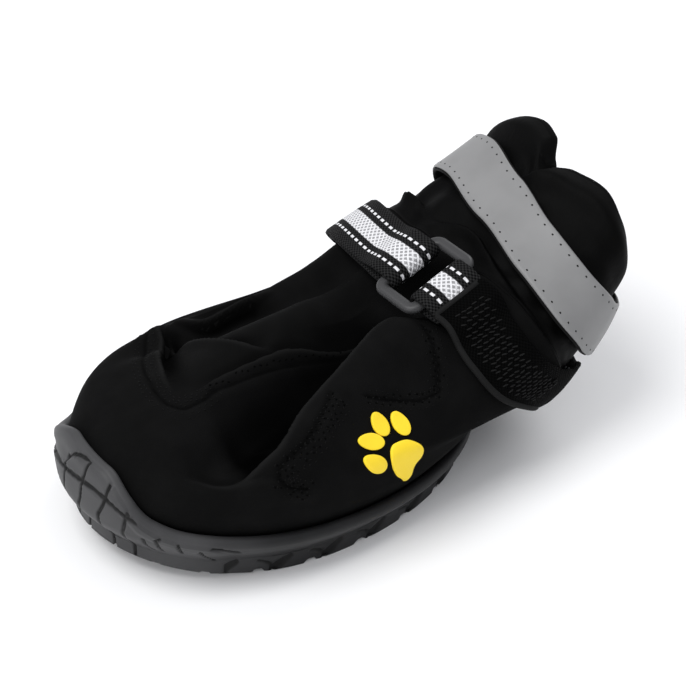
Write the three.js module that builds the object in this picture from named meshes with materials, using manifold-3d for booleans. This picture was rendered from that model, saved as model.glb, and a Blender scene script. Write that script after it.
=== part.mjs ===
import * as THREE from "three";
import Module from "manifold-3d";

// Driving sizes in millimetres
const FOOT_LENGTH = 100;
const BALL_WIDTH = 70;
const INSTEP_HEIGHT = 30;
const HEEL_HEIGHT = 15;
const UPPER_WALL = 1.7;
const COLLAR_WALL = 2.2;
const GAP = 0.3;
const RIM_WALL = 2.3;
const RIM_GAP = 0.7;
const SOLE_FLOOR = 5.1;
const LUG_DEPTH = 1.8;
const TOE_SPRING = 6;
const HEEL_SPRING = 1.5;
const INSOLE_THICK = 1.8;
const WEB_WIDTH = 15;
const WEB_THICK = 1.2;
const BAND_THICK = 1.4;
const BAND_OFFSET = 1.9;
const RING_LONG = 21.6;
const RING_SHORT = 14.7;
const RING_BAR = 3;
const RING_THICK = 2.2;
const WEB_TUCK = 40;
const TAIL_RUN = 9.5;
const TAIL_LIFT = 1.2;
const TAIL_GAP = 2.5;
const SHORT_END = 15.5;
const PATCH_START = 13.2;
const PATCH_END = 64;

const RAD = Math.PI / 180;
const AROUND = 60;

// Section rows from the sole edge to the collar
// x columns are shares of foot length, front z of instep height, back z of heel height, half of ball width
const SECTION_COLUMNS = ["key", "frontX", "frontZ", "backX", "backZ", "half", "squareFront", "squareBack"];
const SECTION_ROWS = [
  [0.0, 0.455, 0.183, -0.505, 0.367, 0.433, 2.0, 2.05],
  [0.08, 0.488, 0.4, -0.54, 0.7, 0.481, 2.05, 2.15],
  [0.18, 0.482, 0.667, -0.575, 0.933, 0.507, 2.2, 2.2],
  [0.28, 0.43, 0.917, -0.595, 1.033, 0.51, 2.25, 2.2],
  [0.4, 0.258, 1.05, -0.61, 1.0, 0.51, 2.3, 2.2],
  [0.52, 0.0, 1.1, -0.615, 0.9, 0.5, 2.3, 2.2],
  [0.64, -0.25, 1.2, -0.62, 0.767, 0.493, 2.5, 2.2],
  [0.74, -0.445, 1.4, -0.645, 0.633, 0.484, 2.8, 2.2],
  [0.86, -0.66, 1.7, -0.8, 1.35, 0.43, 2.5, 2.2],
  [1.0, -0.815, 2.067, -0.935, 2.85, 0.335, 2.3, 2.2],
  [1.05, -0.86, 2.2, -0.965, 3.25, 0.31, 2.3, 2.2],
];

// Fold centres in degrees from the toe, near side positive
const FOLD_ANGLE_ROWS = [
  { key: 0.22, nearRidge: 64, midValley: 48, gusset: 8, farValley: -50, farRidge: -46, farFlank: -75 },
  { key: 0.3, nearRidge: 56, midValley: 38, gusset: 4, farValley: -48, farRidge: -47, farFlank: -75 },
  { key: 0.35, nearRidge: 51, midValley: 33, gusset: 1, farValley: -45, farRidge: -48, farFlank: -75 },
  { key: 0.4, nearRidge: 46, midValley: 27, gusset: -2, farValley: -42, farRidge: -49, farFlank: -75 },
  { key: 0.46, nearRidge: 41, midValley: 21, gusset: -6, farValley: -38, farRidge: -50, farFlank: -75 },
  { key: 0.52, nearRidge: 37, midValley: 15, gusset: -10, farValley: -34, farRidge: -52, farFlank: -75 },
  { key: 0.58, nearRidge: 32, midValley: 10, gusset: -13, farValley: -31, farRidge: -53, farFlank: -75 },
  { key: 0.64, nearRidge: 27, midValley: 6, gusset: -16, farValley: -28, farRidge: -54, farFlank: -75 },
  { key: 0.78, nearRidge: 20, midValley: 3, gusset: -18, farValley: -25, farRidge: -54, farFlank: -75 },
];

// Fold depths in millimetres, outward positive
const FOLD_DEPTH_ROWS = [
  { key: 0.22, nearRidge: 0, midValley: 0, gusset: 0, farValley: 0, farRidge: 0.4, farFlank: 0 },
  { key: 0.3, nearRidge: 1.5, midValley: -3.5, gusset: 1.0, farValley: -1.0, farRidge: 1.2, farFlank: -0.8 },
  { key: 0.35, nearRidge: 3.3, midValley: -6.0, gusset: 1.3, farValley: -3.0, farRidge: 2.6, farFlank: -2.2 },
  { key: 0.4, nearRidge: 5.0, midValley: -8.0, gusset: 1.5, farValley: -5.0, farRidge: 2.2, farFlank: -3.4 },
  { key: 0.46, nearRidge: 5.8, midValley: -8.8, gusset: 1.8, farValley: -5.8, farRidge: -0.5, farFlank: -4.6 },
  { key: 0.52, nearRidge: 6.0, midValley: -9.0, gusset: 2.0, farValley: -6.0, farRidge: 0.2, farFlank: -4.2 },
  { key: 0.58, nearRidge: 4.0, midValley: -8.6, gusset: 1.6, farValley: -5.8, farRidge: 0.3, farFlank: -4.4 },
  { key: 0.64, nearRidge: 1.2, midValley: -8.0, gusset: 1.0, farValley: -5.5, farRidge: 0, farFlank: -2.6 },
  { key: 0.78, nearRidge: 0, midValley: -4.0, gusset: 0, farValley: -3.0, farRidge: 0, farFlank: 0 },
];
const FOLD_NAMES = ["nearRidge", "midValley", "gusset", "farValley", "farRidge", "farFlank"];
const FOLD_SPREAD = { nearRidge: 13, midValley: 12, gusset: 11, farValley: 11, farRidge: 11, farFlank: 27 };
const FOLD_LEAN = { nearRidge: -0.45, midValley: 0, gusset: 0, farValley: 0, farRidge: 0.3, farFlank: 0 };

// Top of the sole rim and of the collar by angle
const RIM_ROWS = [
  { angle: -180, key: 0.05 },
  { angle: -130, key: 0.06 },
  { angle: -105, key: 0.08 },
  { angle: -80, key: 0.1 },
  { angle: -55, key: 0.116 },
  { angle: -40, key: 0.13 },
  { angle: -30, key: 0.165 },
  { angle: -20, key: 0.215 },
  { angle: -8, key: 0.25 },
  { angle: 8, key: 0.25 },
  { angle: 20, key: 0.215 },
  { angle: 30, key: 0.165 },
  { angle: 40, key: 0.13 },
  { angle: 55, key: 0.116 },
  { angle: 80, key: 0.1 },
  { angle: 105, key: 0.08 },
  { angle: 130, key: 0.06 },
  { angle: 180, key: 0.05 },
];
const COLLAR_ROWS = [
  { angle: -180, key: 0.955 },
  { angle: -110, key: 0.985 },
  { angle: -60, key: 1.02 },
  { angle: -26, key: 1.035 },
  { angle: -8, key: 1.02 },
  { angle: 5, key: 0.965 },
  { angle: 16, key: 0.985 },
  { angle: 42, key: 0.995 },
  { angle: 75, key: 0.98 },
  { angle: 120, key: 0.965 },
  { angle: 180, key: 0.955 },
];

// Lower edges of the ankle webbing and of the loose band by angle
const WEB_ROWS = [
  { angle: -260, key: 0.66 },
  { angle: -220, key: 0.7 },
  { angle: -180, key: 0.755 },
  { angle: -140, key: 0.725 },
  { angle: -90, key: 0.675 },
  { angle: -44, key: 0.685 },
  { angle: 0, key: 0.682 },
  { angle: 22, key: 0.688 },
  { angle: 50, key: 0.668 },
  { angle: 87, key: 0.645 },
  { angle: 130, key: 0.69 },
  { angle: 180, key: 0.755 },
];
const BAND_ROWS = [
  { angle: -180, key: 0.85 },
  { angle: -90, key: 0.862 },
  { angle: -35, key: 0.852 },
  { angle: 0, key: 0.822 },
  { angle: 26, key: 0.8 },
  { angle: 60, key: 0.792 },
  { angle: 90, key: 0.802 },
  { angle: 110, key: 0.818 },
  { angle: 135, key: 0.838 },
  { angle: 180, key: 0.85 },
];

// Smooth monotone curve through the rows of one column
function curve(xs, ys, at) {
  const last = xs.length - 1;
  const x = Math.min(Math.max(at, xs[0]), xs[last]);
  let k = 0;
  while (k < last - 1 && x > xs[k + 1]) k += 1;
  const rise = (i) => (ys[i + 1] - ys[i]) / (xs[i + 1] - xs[i]);
  const slope = (i) => {
    if (i === 0) return rise(0);
    if (i === last) return rise(last - 1);
    const before = rise(i - 1);
    const after = rise(i);
    if (before * after <= 0) return 0;
    const a = xs[i] - xs[i - 1];
    const b = xs[i + 1] - xs[i];
    return (3 * (a + b)) / ((2 * b + a) / before + (b + 2 * a) / after);
  };
  const h = xs[k + 1] - xs[k];
  const t = (x - xs[k]) / h;
  const u = 1 - t;
  const low = ys[k] * (1 + 2 * t) * u * u + h * slope(k) * t * u * u;
  const high = ys[k + 1] * t * t * (3 - 2 * t) + h * slope(k + 1) * t * t * (t - 1);
  return low + high;
}

const SECTION_KEYS = SECTION_ROWS.map((row) => row[0]);
const SECTION_VALUES = SECTION_COLUMNS.map((name, c) => SECTION_ROWS.map((row) => row[c]));

function section(name, key) {
  return curve(SECTION_KEYS, SECTION_VALUES[SECTION_COLUMNS.indexOf(name)], key);
}

function column(rows, by, name) {
  const xs = rows.map((row) => row[by]);
  const ys = rows.map((row) => row[name]);
  return (at) => curve(xs, ys, at);
}

const rimKey = column(RIM_ROWS, "angle", "key");
const collarKey = column(COLLAR_ROWS, "angle", "key");
const webKey = column(WEB_ROWS, "angle", "key");
const bandKey = column(BAND_ROWS, "angle", "key");
const foldAngle = {};
const foldDepth = {};
for (const name of FOLD_NAMES) {
  foldAngle[name] = column(FOLD_ANGLE_ROWS, "key", name);
  foldDepth[name] = column(FOLD_DEPTH_ROWS, "key", name);
}

function smoothStep(from, to, x) {
  const t = Math.min(Math.max((x - from) / (to - from), 0), 1);
  return t * t * (3 - 2 * t);
}

// Lift of the ground line at the toe and the heel
function spring(x) {
  const toe = Math.max((x - 8) / 40, 0);
  const heel = Math.max((-34 - x) / 18, 0);
  return TOE_SPRING * toe * toe + HEEL_SPRING * heel * heel;
}

function bent(value, power) {
  return Math.sign(value) * Math.abs(value) ** power;
}

// Smooth outer form of the upper with no folds
function envelope(angle, key) {
  const k = Math.max(key, 0);
  const c = Math.cos(angle * RAD);
  const s = Math.sin(angle * RAD);
  const square = c > 0 ? section("squareFront", k) : section("squareBack", k);
  const frontX = section("frontX", k) * FOOT_LENGTH;
  const backX = section("backX", k) * FOOT_LENGTH;
  const frontZ = section("frontZ", k) * INSTEP_HEIGHT;
  const backZ = section("backZ", k) * HEEL_HEIGHT;
  const reach = bent(c, 2 / square);
  const x = (frontX + backX) / 2 + (reach * (frontX - backX)) / 2;
  const y = bent(s, 2 / square) * section("half", k) * BALL_WIDTH;
  const lift = spring(x) * (1 - smoothStep(0, 0.22, k));
  const z = (frontZ + backZ) / 2 + (reach * (frontZ - backZ)) / 2 + lift;
  return new THREE.Vector3(x, y, key < 0 ? z + key * 100 : z);
}

// Unit directions around, along and out of a surface
function frameOf(surface, angle, key) {
  const da = 0.6;
  const dk = 0.003;
  const around = surface(angle + da, key).sub(surface(angle - da, key)).normalize();
  const along = surface(angle, key + dk).sub(surface(angle, key - dk)).normalize();
  const out = new THREE.Vector3().crossVectors(around, along).normalize();
  return { around, along, out };
}

function foldShift(angle, key) {
  const start = smoothStep(0.18, 0.24, key);
  let out = 0;
  let side = 0;
  for (const name of FOLD_NAMES) {
    const ridge = FOLD_LEAN[name] !== 0 || name === "gusset";
    const end = ridge ? 1 - smoothStep(0.59, 0.65, key) : 1 - smoothStep(0.76, 0.83, key);
    const away = ((angle - foldAngle[name](key) + 540) % 360) - 180;
    const bump = Math.exp(-((away / FOLD_SPREAD[name]) ** 2));
    const size = foldDepth[name](key) * start * end * bump;
    out += size;
    side += size * FOLD_LEAN[name];
  }
  return { out, side };
}

// Seam step where the softer cuff leaves the upper, and the rolled collar edge
function stepShift(angle, key) {
  const top = collarKey(angle);
  const seam = -0.9 * smoothStep(0.772, 0.78, key);
  const roll = 1.5 * Math.exp(-(((key - top + 0.028) / 0.024) ** 2));
  return seam + roll;
}

function upperOuter(angle, key) {
  const point = envelope(angle, key);
  const frame = frameOf(envelope, angle, key);
  const fold = foldShift(angle, key);
  point.addScaledVector(frame.out, fold.out + stepShift(angle, key));
  point.addScaledVector(frame.around, fold.side);
  return point;
}

function upperInner(angle, key) {
  const frame = frameOf(upperOuter, angle, key);
  const wall = UPPER_WALL + (COLLAR_WALL - UPPER_WALL) * smoothStep(0.78, 0.95, key);
  return upperOuter(angle, key).addScaledVector(frame.out, -wall);
}

// Triangle lists with a shared vertex table
class Body {
  constructor() {
    this.points = [];
    this.faces = [];
  }
  add(point) {
    this.points.push(point.x, point.y, point.z);
    return this.points.length / 3 - 1;
  }
  face(a, b, c) {
    this.faces.push(a, b, c);
  }
  gap(a, b) {
    const p = this.points;
    return Math.hypot(p[a * 3] - p[b * 3], p[a * 3 + 1] - p[b * 3 + 1], p[a * 3 + 2] - p[b * 3 + 2]);
  }
  quad(a, b, c, d) {
    if (this.gap(a, c) <= this.gap(b, d)) {
      this.face(a, b, c);
      this.face(a, c, d);
    } else {
      this.face(a, b, d);
      this.face(b, c, d);
    }
  }
  volume() {
    let sum = 0;
    const p = this.points;
    const f = this.faces;
    const v = (i) => new THREE.Vector3(p[i * 3], p[i * 3 + 1], p[i * 3 + 2]);
    for (let i = 0; i < f.length; i += 3) sum += v(f[i]).dot(v(f[i + 1]).cross(v(f[i + 2])));
    return sum / 6;
  }
  outward() {
    if (this.volume() < 0) {
      for (let i = 0; i < this.faces.length; i += 3) {
        [this.faces[i], this.faces[i + 1]] = [this.faces[i + 1], this.faces[i]];
      }
    }
    return this;
  }
}

// Closed body between an outer and an inner grid of points, rows around or along, columns across
function shell(outer, inner, closedAround) {
  const body = new Body();
  const out = outer.map((row) => row.map((point) => body.add(point)));
  const inn = inner.map((row) => row.map((point) => body.add(point)));
  const rows = out.length;
  const turns = closedAround ? rows : rows - 1;
  const lastOut = out[0].length - 1;
  const lastIn = inn[0].length - 1;
  for (let i = 0; i < turns; i += 1) {
    const n = (i + 1) % rows;
    for (let j = 0; j < lastOut; j += 1) body.quad(out[i][j], out[n][j], out[n][j + 1], out[i][j + 1]);
    for (let j = 0; j < lastIn; j += 1) body.quad(inn[i][j], inn[i][j + 1], inn[n][j + 1], inn[n][j]);
    body.quad(out[i][0], inn[i][0], inn[n][0], out[n][0]);
    body.quad(out[i][lastOut], out[n][lastOut], inn[n][lastIn], inn[i][lastIn]);
  }
  if (!closedAround) {
    for (const i of [0, rows - 1]) {
      for (let j = 0; j < lastOut; j += 1) {
        if (i === 0) body.quad(out[i][j], out[i][j + 1], inn[i][j + 1], inn[i][j]);
        else body.quad(out[i][j], inn[i][j], inn[i][j + 1], out[i][j + 1]);
      }
    }
  }
  return body.outward();
}

// Closed tube of equal cross-section loops
function loft(loops, closed) {
  const body = new Body();
  const rings = loops.map((loop) => loop.map((point) => body.add(point)));
  const count = rings[0].length;
  const spans = closed ? rings.length : rings.length - 1;
  for (let i = 0; i < spans; i += 1) {
    const next = rings[(i + 1) % rings.length];
    for (let j = 0; j < count; j += 1) {
      const k = (j + 1) % count;
      body.quad(rings[i][j], rings[i][k], next[k], next[j]);
    }
  }
  if (!closed) {
    const first = rings[0];
    const last = rings[rings.length - 1];
    for (let j = 1; j < count - 1; j += 1) {
      body.face(first[0], first[j + 1], first[j]);
      body.face(last[0], last[j], last[j + 1]);
    }
  }
  return body.outward();
}

const wasm = await Module();
wasm.setup();

function solid(body) {
  const mesh = new wasm.Mesh({
    numProp: 3,
    vertProperties: new Float32Array(body.points),
    triVerts: new Uint32Array(body.faces),
  });
  mesh.merge();
  return new wasm.Manifold(mesh);
}

function geometryOf(points, faces) {
  const geometry = new THREE.BufferGeometry();
  geometry.setAttribute("position", new THREE.BufferAttribute(new Float32Array(points), 3));
  geometry.setIndex(new THREE.BufferAttribute(new Uint32Array(faces), 1));
  geometry.computeVertexNormals();
  return geometry;
}

const group = new THREE.Group();
group.name = "dog_shoe";

function addMesh(name, geometry, color, roughness, metalness) {
  const material = new THREE.MeshStandardMaterial({ color, roughness, metalness });
  material.name = name;
  const mesh = new THREE.Mesh(geometry, material);
  mesh.name = name;
  group.add(mesh);
}

function addBody(name, body, color, roughness, metalness) {
  addMesh(name, geometryOf(body.points, body.faces), color, roughness, metalness);
}

function range(count, from, to) {
  return Array.from({ length: count }, (unused, i) => from + ((to - from) * i) / (count - 1));
}

// Angles close together over the folded front and wider at the back
const ANGLES = Array.from({ length: AROUND }, (unused, i) => {
  const t = (i / AROUND) * 360;
  return t - (0.42 / RAD) * Math.sin(t * RAD);
});

// Upper with shaft, open at the collar and underneath
const OUTER_SHARES = [0, 0.07, 0.16, 0.22, 0.27, 0.31, 0.35, 0.39, 0.43, 0.48, 0.53, 0.58, 0.62]
  .concat([0.655, 0.69, 0.72, 0.75, 0.772, 0.784, 0.83, 0.89, 0.94, 0.965, 0.985, 1]);
const INNER_SHARES = [0, 0.12, 0.24, 0.34, 0.43, 0.52, 0.61, 0.71, 0.8, 0.9, 1];

function upperKey(share, angle) {
  const top = collarKey(signedAngle(angle));
  return share <= 0.8 ? share : 0.8 + ((share - 0.8) / 0.2) * (top - 0.8);
}

function signedAngle(angle) {
  return ((angle + 540) % 360) - 180;
}

const upperOut = ANGLES.map((a) => OUTER_SHARES.map((s) => upperOuter(signedAngle(a), upperKey(s, a))));
const upperIn = ANGLES.map((a) => INNER_SHARES.map((s) => upperInner(signedAngle(a), upperKey(s, a))));
addBody("upper", shell(upperOut, upperIn, true), 0x141416, 0.85, 0);

// Outsole slab, rim, toe cap and lugs
function baseEdge(angle, outward) {
  const foot = envelope(angle, 0);
  const out = frameOf(envelope, angle, 0.001).out.setZ(0).normalize();
  return foot.addScaledVector(out, outward);
}

function slabBody() {
  const body = new Body();
  const shares = [0.4, 0.7, 0.87, 1];
  const angles = range(41, -180, 180).slice(0, 40);
  const centre = new THREE.Vector3(-2, 0, 0);
  const ids = { top: [], low: [] };
  for (const level of ["top", "low"]) {
    const height = level === "top" ? SOLE_FLOOR : LUG_DEPTH;
    const middle = body.add(centre.clone().setZ(height));
    ids[level] = { middle, rings: [] };
    for (const share of shares) {
      ids[level].rings.push(angles.map((angle) => {
        const point = centre.clone().lerp(baseEdge(angle, RIM_GAP + RIM_WALL - 0.4).setZ(0), share);
        return body.add(point.setZ(height + spring(point.x)));
      }));
    }
  }
  const count = angles.length;
  for (let i = 0; i < count; i += 1) {
    const n = (i + 1) % count;
    const { top, low } = ids;
    body.face(top.middle, top.rings[0][i], top.rings[0][n]);
    body.face(low.middle, low.rings[0][n], low.rings[0][i]);
    for (let r = 0; r < shares.length - 1; r += 1) {
      body.quad(top.rings[r][i], top.rings[r + 1][i], top.rings[r + 1][n], top.rings[r][n]);
      body.quad(low.rings[r][i], low.rings[r][n], low.rings[r + 1][n], low.rings[r + 1][i]);
    }
    const e = shares.length - 1;
    body.quad(top.rings[e][i], low.rings[e][i], low.rings[e][n], top.rings[e][n]);
  }
  return body.outward();
}

const RIM_BOTTOM = -0.036;

function rimBody() {
  const angles = range(57, -180, 180).slice(0, 56);
  const outer = [];
  const inner = [];
  for (const angle of angles) {
    const top = rimKey(angle);
    const outRow = [];
    const inRow = [];
    for (const share of [0, 0.35, 0.7, 0.93]) {
      const key = RIM_BOTTOM + (top - RIM_BOTTOM) * share;
      const out = frameOf(envelope, angle, Math.max(key, 0.001)).out;
      const lip = 0.5 * smoothStep(0.5, 0.85, share) - 0.7 * smoothStep(0.85, 1, share);
      outRow.push(envelope(angle, key).addScaledVector(out, RIM_GAP + RIM_WALL + lip));
    }
    const outTop = frameOf(envelope, angle, top).out;
    outRow.push(envelope(angle, top).addScaledVector(outTop, RIM_GAP + RIM_WALL * 0.55));
    for (const share of [0, 0.35, 0.7, 1]) {
      const key = RIM_BOTTOM + (top - RIM_BOTTOM) * share;
      const out = frameOf(envelope, angle, Math.max(key, 0.001)).out;
      inRow.push(envelope(angle, key).addScaledVector(out, RIM_GAP));
    }
    outer.push(outRow);
    inner.push(inRow);
  }
  return shell(outer, inner, true);
}

// One edge lug that climbs the side wall, leaning a little forward
function edgeLug(from, to, climb, lean) {
  const loops = range(3, from, to).map((angle) => {
    const edge = baseEdge(angle, RIM_GAP + RIM_WALL);
    const out = frameOf(envelope, angle, 0.001).out.setZ(0).normalize();
    const low = spring(edge.x);
    const at = (reach, height) => {
      const base = baseEdge(angle + lean * (height / climb), RIM_GAP + RIM_WALL + reach);
      return base.setZ(Math.max(low, spring(base.x)) + height);
    };
    const inner = new THREE.Vector3(-2, 0, 0).lerp(edge.clone().setZ(0), 0.8);
    const innerLow = inner.clone().setZ(spring(inner.x));
    const innerHigh = inner.clone().setZ(spring(inner.x) + LUG_DEPTH + 1);
    return [innerLow, at(0.3, 0), at(1, 1.2), at(1, climb - 0.6), at(-0.6, climb + 0.3), innerHigh];
  });
  return loft(loops, false);
}

// Low block under the sole with its face on the ground line
function padLug(x, y, halfX, halfY, skew) {
  const corner = (sx, sy, up) => {
    const px = x + sx * halfX + sy * skew;
    const py = y + sy * halfY;
    return new THREE.Vector3(px, py, spring(px) + (up ? LUG_DEPTH + 1 : 0));
  };
  const loop = (up) => [corner(-1, -1, up), corner(1, -1, up), corner(1, 1, up), corner(-1, 1, up)];
  return loft([loop(false), loop(true)], false);
}

// Raised tread blocks on the toe cap, between two angles and two heights
const CAP_ROWS = [
  { from: 1.2, to: 17, lowFrom: 0.0, lowTo: 0.0, highFrom: 0.078, highTo: 0.07 },
  { from: 19.5, to: 35, lowFrom: 0.0, lowTo: 0.0, highFrom: 0.064, highTo: 0.04 },
  { from: 1.2, to: 17, lowFrom: 0.096, lowTo: 0.088, highFrom: 0.192, highTo: 0.16 },
  { from: 19.5, to: 31, lowFrom: 0.082, lowTo: 0.062, highFrom: 0.142, highTo: 0.082 },
];

function capBlock(row, side) {
  const grid = (lift) => range(4, row.from, row.to).map((angle) => {
    const t = (angle - row.from) / (row.to - row.from);
    const low = row.lowFrom + (row.lowTo - row.lowFrom) * t;
    const high = row.highFrom + (row.highTo - row.highFrom) * t;
    return range(3, low, high).map((key, j) => {
      const inset = lift > RIM_GAP + RIM_WALL ? 0.5 : 0;
      const a = angle + (t === 0 ? inset : 0) - (t === 1 ? inset : 0);
      const k = key + (j === 0 ? 0.004 : 0) * (inset > 0) - (j === 2 ? 0.004 : 0) * (inset > 0);
      const out = frameOf(envelope, side * a, Math.max(k, 0.001)).out;
      return envelope(side * a, k).addScaledVector(out, lift);
    });
  });
  return shell(grid(RIM_GAP + RIM_WALL + 1.2), grid(RIM_GAP + RIM_WALL - 0.8), false);
}

const EDGE_LUGS = 24;
const solePieces = [solid(slabBody()), solid(rimBody())];
for (let i = 0; i < EDGE_LUGS; i += 1) {
  const start = (i * 360) / EDGE_LUGS - 180 + 1.6;
  const toe = Math.abs(start + 4) < 36;
  const climb = toe ? 3.4 : i % 2 === 0 ? 5.4 : 4.4;
  solePieces.push(solid(edgeLug(start, start + 360 / EDGE_LUGS - 3, climb, toe ? 0 : 2)));
}
const PAD_ROWS = [
  { x: 30, ys: [-8, 8], halfX: 4.2, halfY: 6, skew: 1.5 },
  { x: 20, ys: [-15, 0, 15], halfX: 3.6, halfY: 5.6, skew: 0 },
  { x: 10, ys: [-20, -6.8, 6.8, 20], halfX: 3.6, halfY: 5.2, skew: 1.2 },
  { x: 0, ys: [-19, 0, 19], halfX: 4, halfY: 6.4, skew: 0 },
  { x: -11, ys: [-20, -6.8, 6.8, 20], halfX: 4, halfY: 5.2, skew: 1.2 },
  { x: -21.5, ys: [-15, 0, 15], halfX: 3.8, halfY: 5.6, skew: 0 },
  { x: -31.5, ys: [-8, 8], halfX: 3.8, halfY: 6, skew: 1.5 },
];
for (const row of PAD_ROWS) {
  for (const y of row.ys) solePieces.push(solid(padLug(row.x, y, row.halfX, row.halfY, Math.sign(y) * row.skew)));
}
for (const row of CAP_ROWS) {
  solePieces.push(solid(capBlock(row, 1)));
  solePieces.push(solid(capBlock(row, -1)));
}
let sole = solePieces[0];
for (const piece of solePieces.slice(1)) sole = sole.add(piece);
const soleMesh = sole.simplify(0.09).getMesh();
addMesh("outsole", geometryOf(soleMesh.vertProperties, soleMesh.triVerts), 0x3b3c3f, 0.7, 0);

// Insole plate on the floor of the shoe
function insoleBody() {
  const angles = range(41, -180, 180).slice(0, 40);
  const loop = (height) => angles.map((angle) => {
    const point = baseEdge(angle, -(UPPER_WALL + 0.7));
    return point.setZ(height + spring(point.x));
  });
  const body = new Body();
  const low = loop(SOLE_FLOOR + GAP + 0.2).map((p) => body.add(p));
  const high = loop(SOLE_FLOOR + GAP + 0.2 + INSOLE_THICK).map((p) => body.add(p));
  const count = angles.length;
  for (let i = 0; i < count; i += 1) body.quad(low[i], low[(i + 1) % count], high[(i + 1) % count], high[i]);
  for (let i = 0; i < count / 2 - 1; i += 1) {
    const a = i;
    const b = i + 1;
    const c = count - 1 - i;
    const d = (count - i) % count;
    if (i === 0) {
      body.face(low[0], low[c], low[b]);
      body.face(high[0], high[b], high[c]);
    } else {
      body.quad(low[a], low[d], low[c], low[b]);
      body.quad(high[a], high[b], high[c], high[d]);
    }
  }
  const m = count / 2;
  body.face(low[m], low[m - 1], low[m + 1]);
  body.face(high[m], high[m + 1], high[m - 1]);
  return body.outward();
}
addBody("insole", insoleBody(), 0x2a2a2c, 0.9, 0);

// Point on the form at a distance across a band that starts at its lower edge
function acrossKey(angle, startKey, distance) {
  const steps = 6;
  let key = startKey;
  for (let i = 0; i < steps; i += 1) {
    const here = envelope(angle, key);
    const rate = envelope(angle, key + 0.004).sub(here).length() / 0.004;
    const half = key + (distance / steps / rate) * 0.5;
    const mid = envelope(angle, half + 0.002).sub(envelope(angle, half - 0.002)).length() / 0.004;
    key += distance / steps / mid;
  }
  return key;
}

function wrapAngle(angle) {
  return ((angle + 900) % 360) - 180;
}

function onBand(edgeKey, angle, across, lift) {
  const a = wrapAngle(angle);
  const key = acrossKey(a, edgeKey(angle), across);
  return envelope(a, key).addScaledVector(frameOf(envelope, a, key).out, lift);
}

// Lengths along the middle of the ankle webbing, measured from the ring
const RING_ANGLE = 4;
const WEB_TABLE = { angles: [], lengths: [] };
{
  const step = 2;
  const angles = [];
  for (let a = -262; a <= 178; a += step) angles.push(a);
  const middle = angles.map((a) => onBand(webKey, a, WEB_WIDTH / 2, 1));
  let sum = 0;
  const lengths = middle.map((point, i) => {
    if (i > 0) sum += point.distanceTo(middle[i - 1]);
    return sum;
  });
  const zero = curve(angles, lengths, RING_ANGLE);
  WEB_TABLE.angles = angles;
  WEB_TABLE.lengths = lengths.map((value) => value - zero);
}

const ringSpot = onBand(webKey, RING_ANGLE, WEB_WIDTH / 2, 0.35);
const ringFrame = (() => {
  const far = onBand(webKey, RING_ANGLE - 6, WEB_WIDTH / 2, 0);
  const near = onBand(webKey, RING_ANGLE + 6, WEB_WIDTH / 2, 0);
  const low = onBand(webKey, RING_ANGLE, 0, 0);
  const high = onBand(webKey, RING_ANGLE, WEB_WIDTH, 0);
  const along = near.sub(far).normalize();
  const out = new THREE.Vector3().crossVectors(along, high.sub(low)).normalize();
  const across = new THREE.Vector3().crossVectors(out, along);
  return { along, across, out };
})();

function flatPoint(length, across, lift) {
  return ringSpot.clone()
    .addScaledVector(ringFrame.along, length)
    .addScaledVector(ringFrame.across, across - WEB_WIDTH / 2)
    .addScaledVector(ringFrame.out, lift);
}

// The webbing stands a little off the upper behind the ankle
function slack(angle) {
  return 1.3 * smoothStep(95, 130, Math.abs(wrapAngle(angle)));
}

function webPoint(length, across, lift) {
  const angle = curve(WEB_TABLE.lengths, WEB_TABLE.angles, length);
  const curved = onBand(webKey, angle, across, lift + slack(angle));
  const flat = 1 - smoothStep(8.5, 16, Math.abs(length));
  return flat > 0 ? curved.lerp(flatPoint(length, across, lift), flat) : curved;
}

// Woven strip that follows rows of length along the strap and lift off the upper
function stripBody(place, rows, thick, width) {
  const acrosses = [0, width / 2, width];
  const mid = rows.map(([length, lift]) => acrosses.map((v) => place(length, v, lift)));
  const top = [];
  const low = [];
  const last = mid.length - 1;
  mid.forEach((row, i) => {
    const before = mid[Math.max(i - 1, 0)];
    const after = mid[Math.min(i + 1, last)];
    top.push([]);
    low.push([]);
    row.forEach((point, j) => {
      const along = after[j].clone().sub(before[j]);
      const across = row[Math.min(j + 1, 2)].clone().sub(row[Math.max(j - 1, 0)]);
      const out = new THREE.Vector3().crossVectors(along, across).normalize();
      top[i].push(point.clone().addScaledVector(out, thick / 2));
      low[i].push(point.clone().addScaledVector(out, -thick / 2));
    });
  });
  return shell(top, low, false);
}

function ramp(rows, spacing) {
  const result = [rows[0]];
  for (let i = 1; i < rows.length; i += 1) {
    const [l0, o0] = rows[i - 1];
    const [l1, o1] = rows[i];
    const count = Math.max(1, Math.round(Math.abs(l1 - l0) / spacing));
    for (let k = 1; k <= count; k += 1) {
      const t = k / count;
      const ease = t * t * (3 - 2 * t);
      result.push([l0 + (l1 - l0) * t, o0 + (o1 - o0) * ease]);
    }
  }
  return result;
}

// Turn around one long bar of the ring
const BAR_LIFT = GAP * 2 + 0.1 + WEB_THICK + RING_THICK / 2;
const TURN_RADIUS = RING_THICK / 2 + GAP + WEB_THICK / 2;
function turn(barLength, side) {
  const core = barLength + side * (RING_BAR / 2 - RING_THICK / 2);
  return range(9, -90, 90).map((a) => [
    core + side * TURN_RADIUS * Math.cos(a * RAD),
    BAR_LIFT + TURN_RADIUS * Math.sin(a * RAD),
  ]);
}

const BAR_AT = (RING_SHORT - RING_BAR) / 2;
const UNDER = GAP + 0.1 + WEB_THICK / 2;
const OVER = UNDER + GAP + WEB_THICK;
const TOP = BAR_LIFT + TURN_RADIUS;

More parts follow.
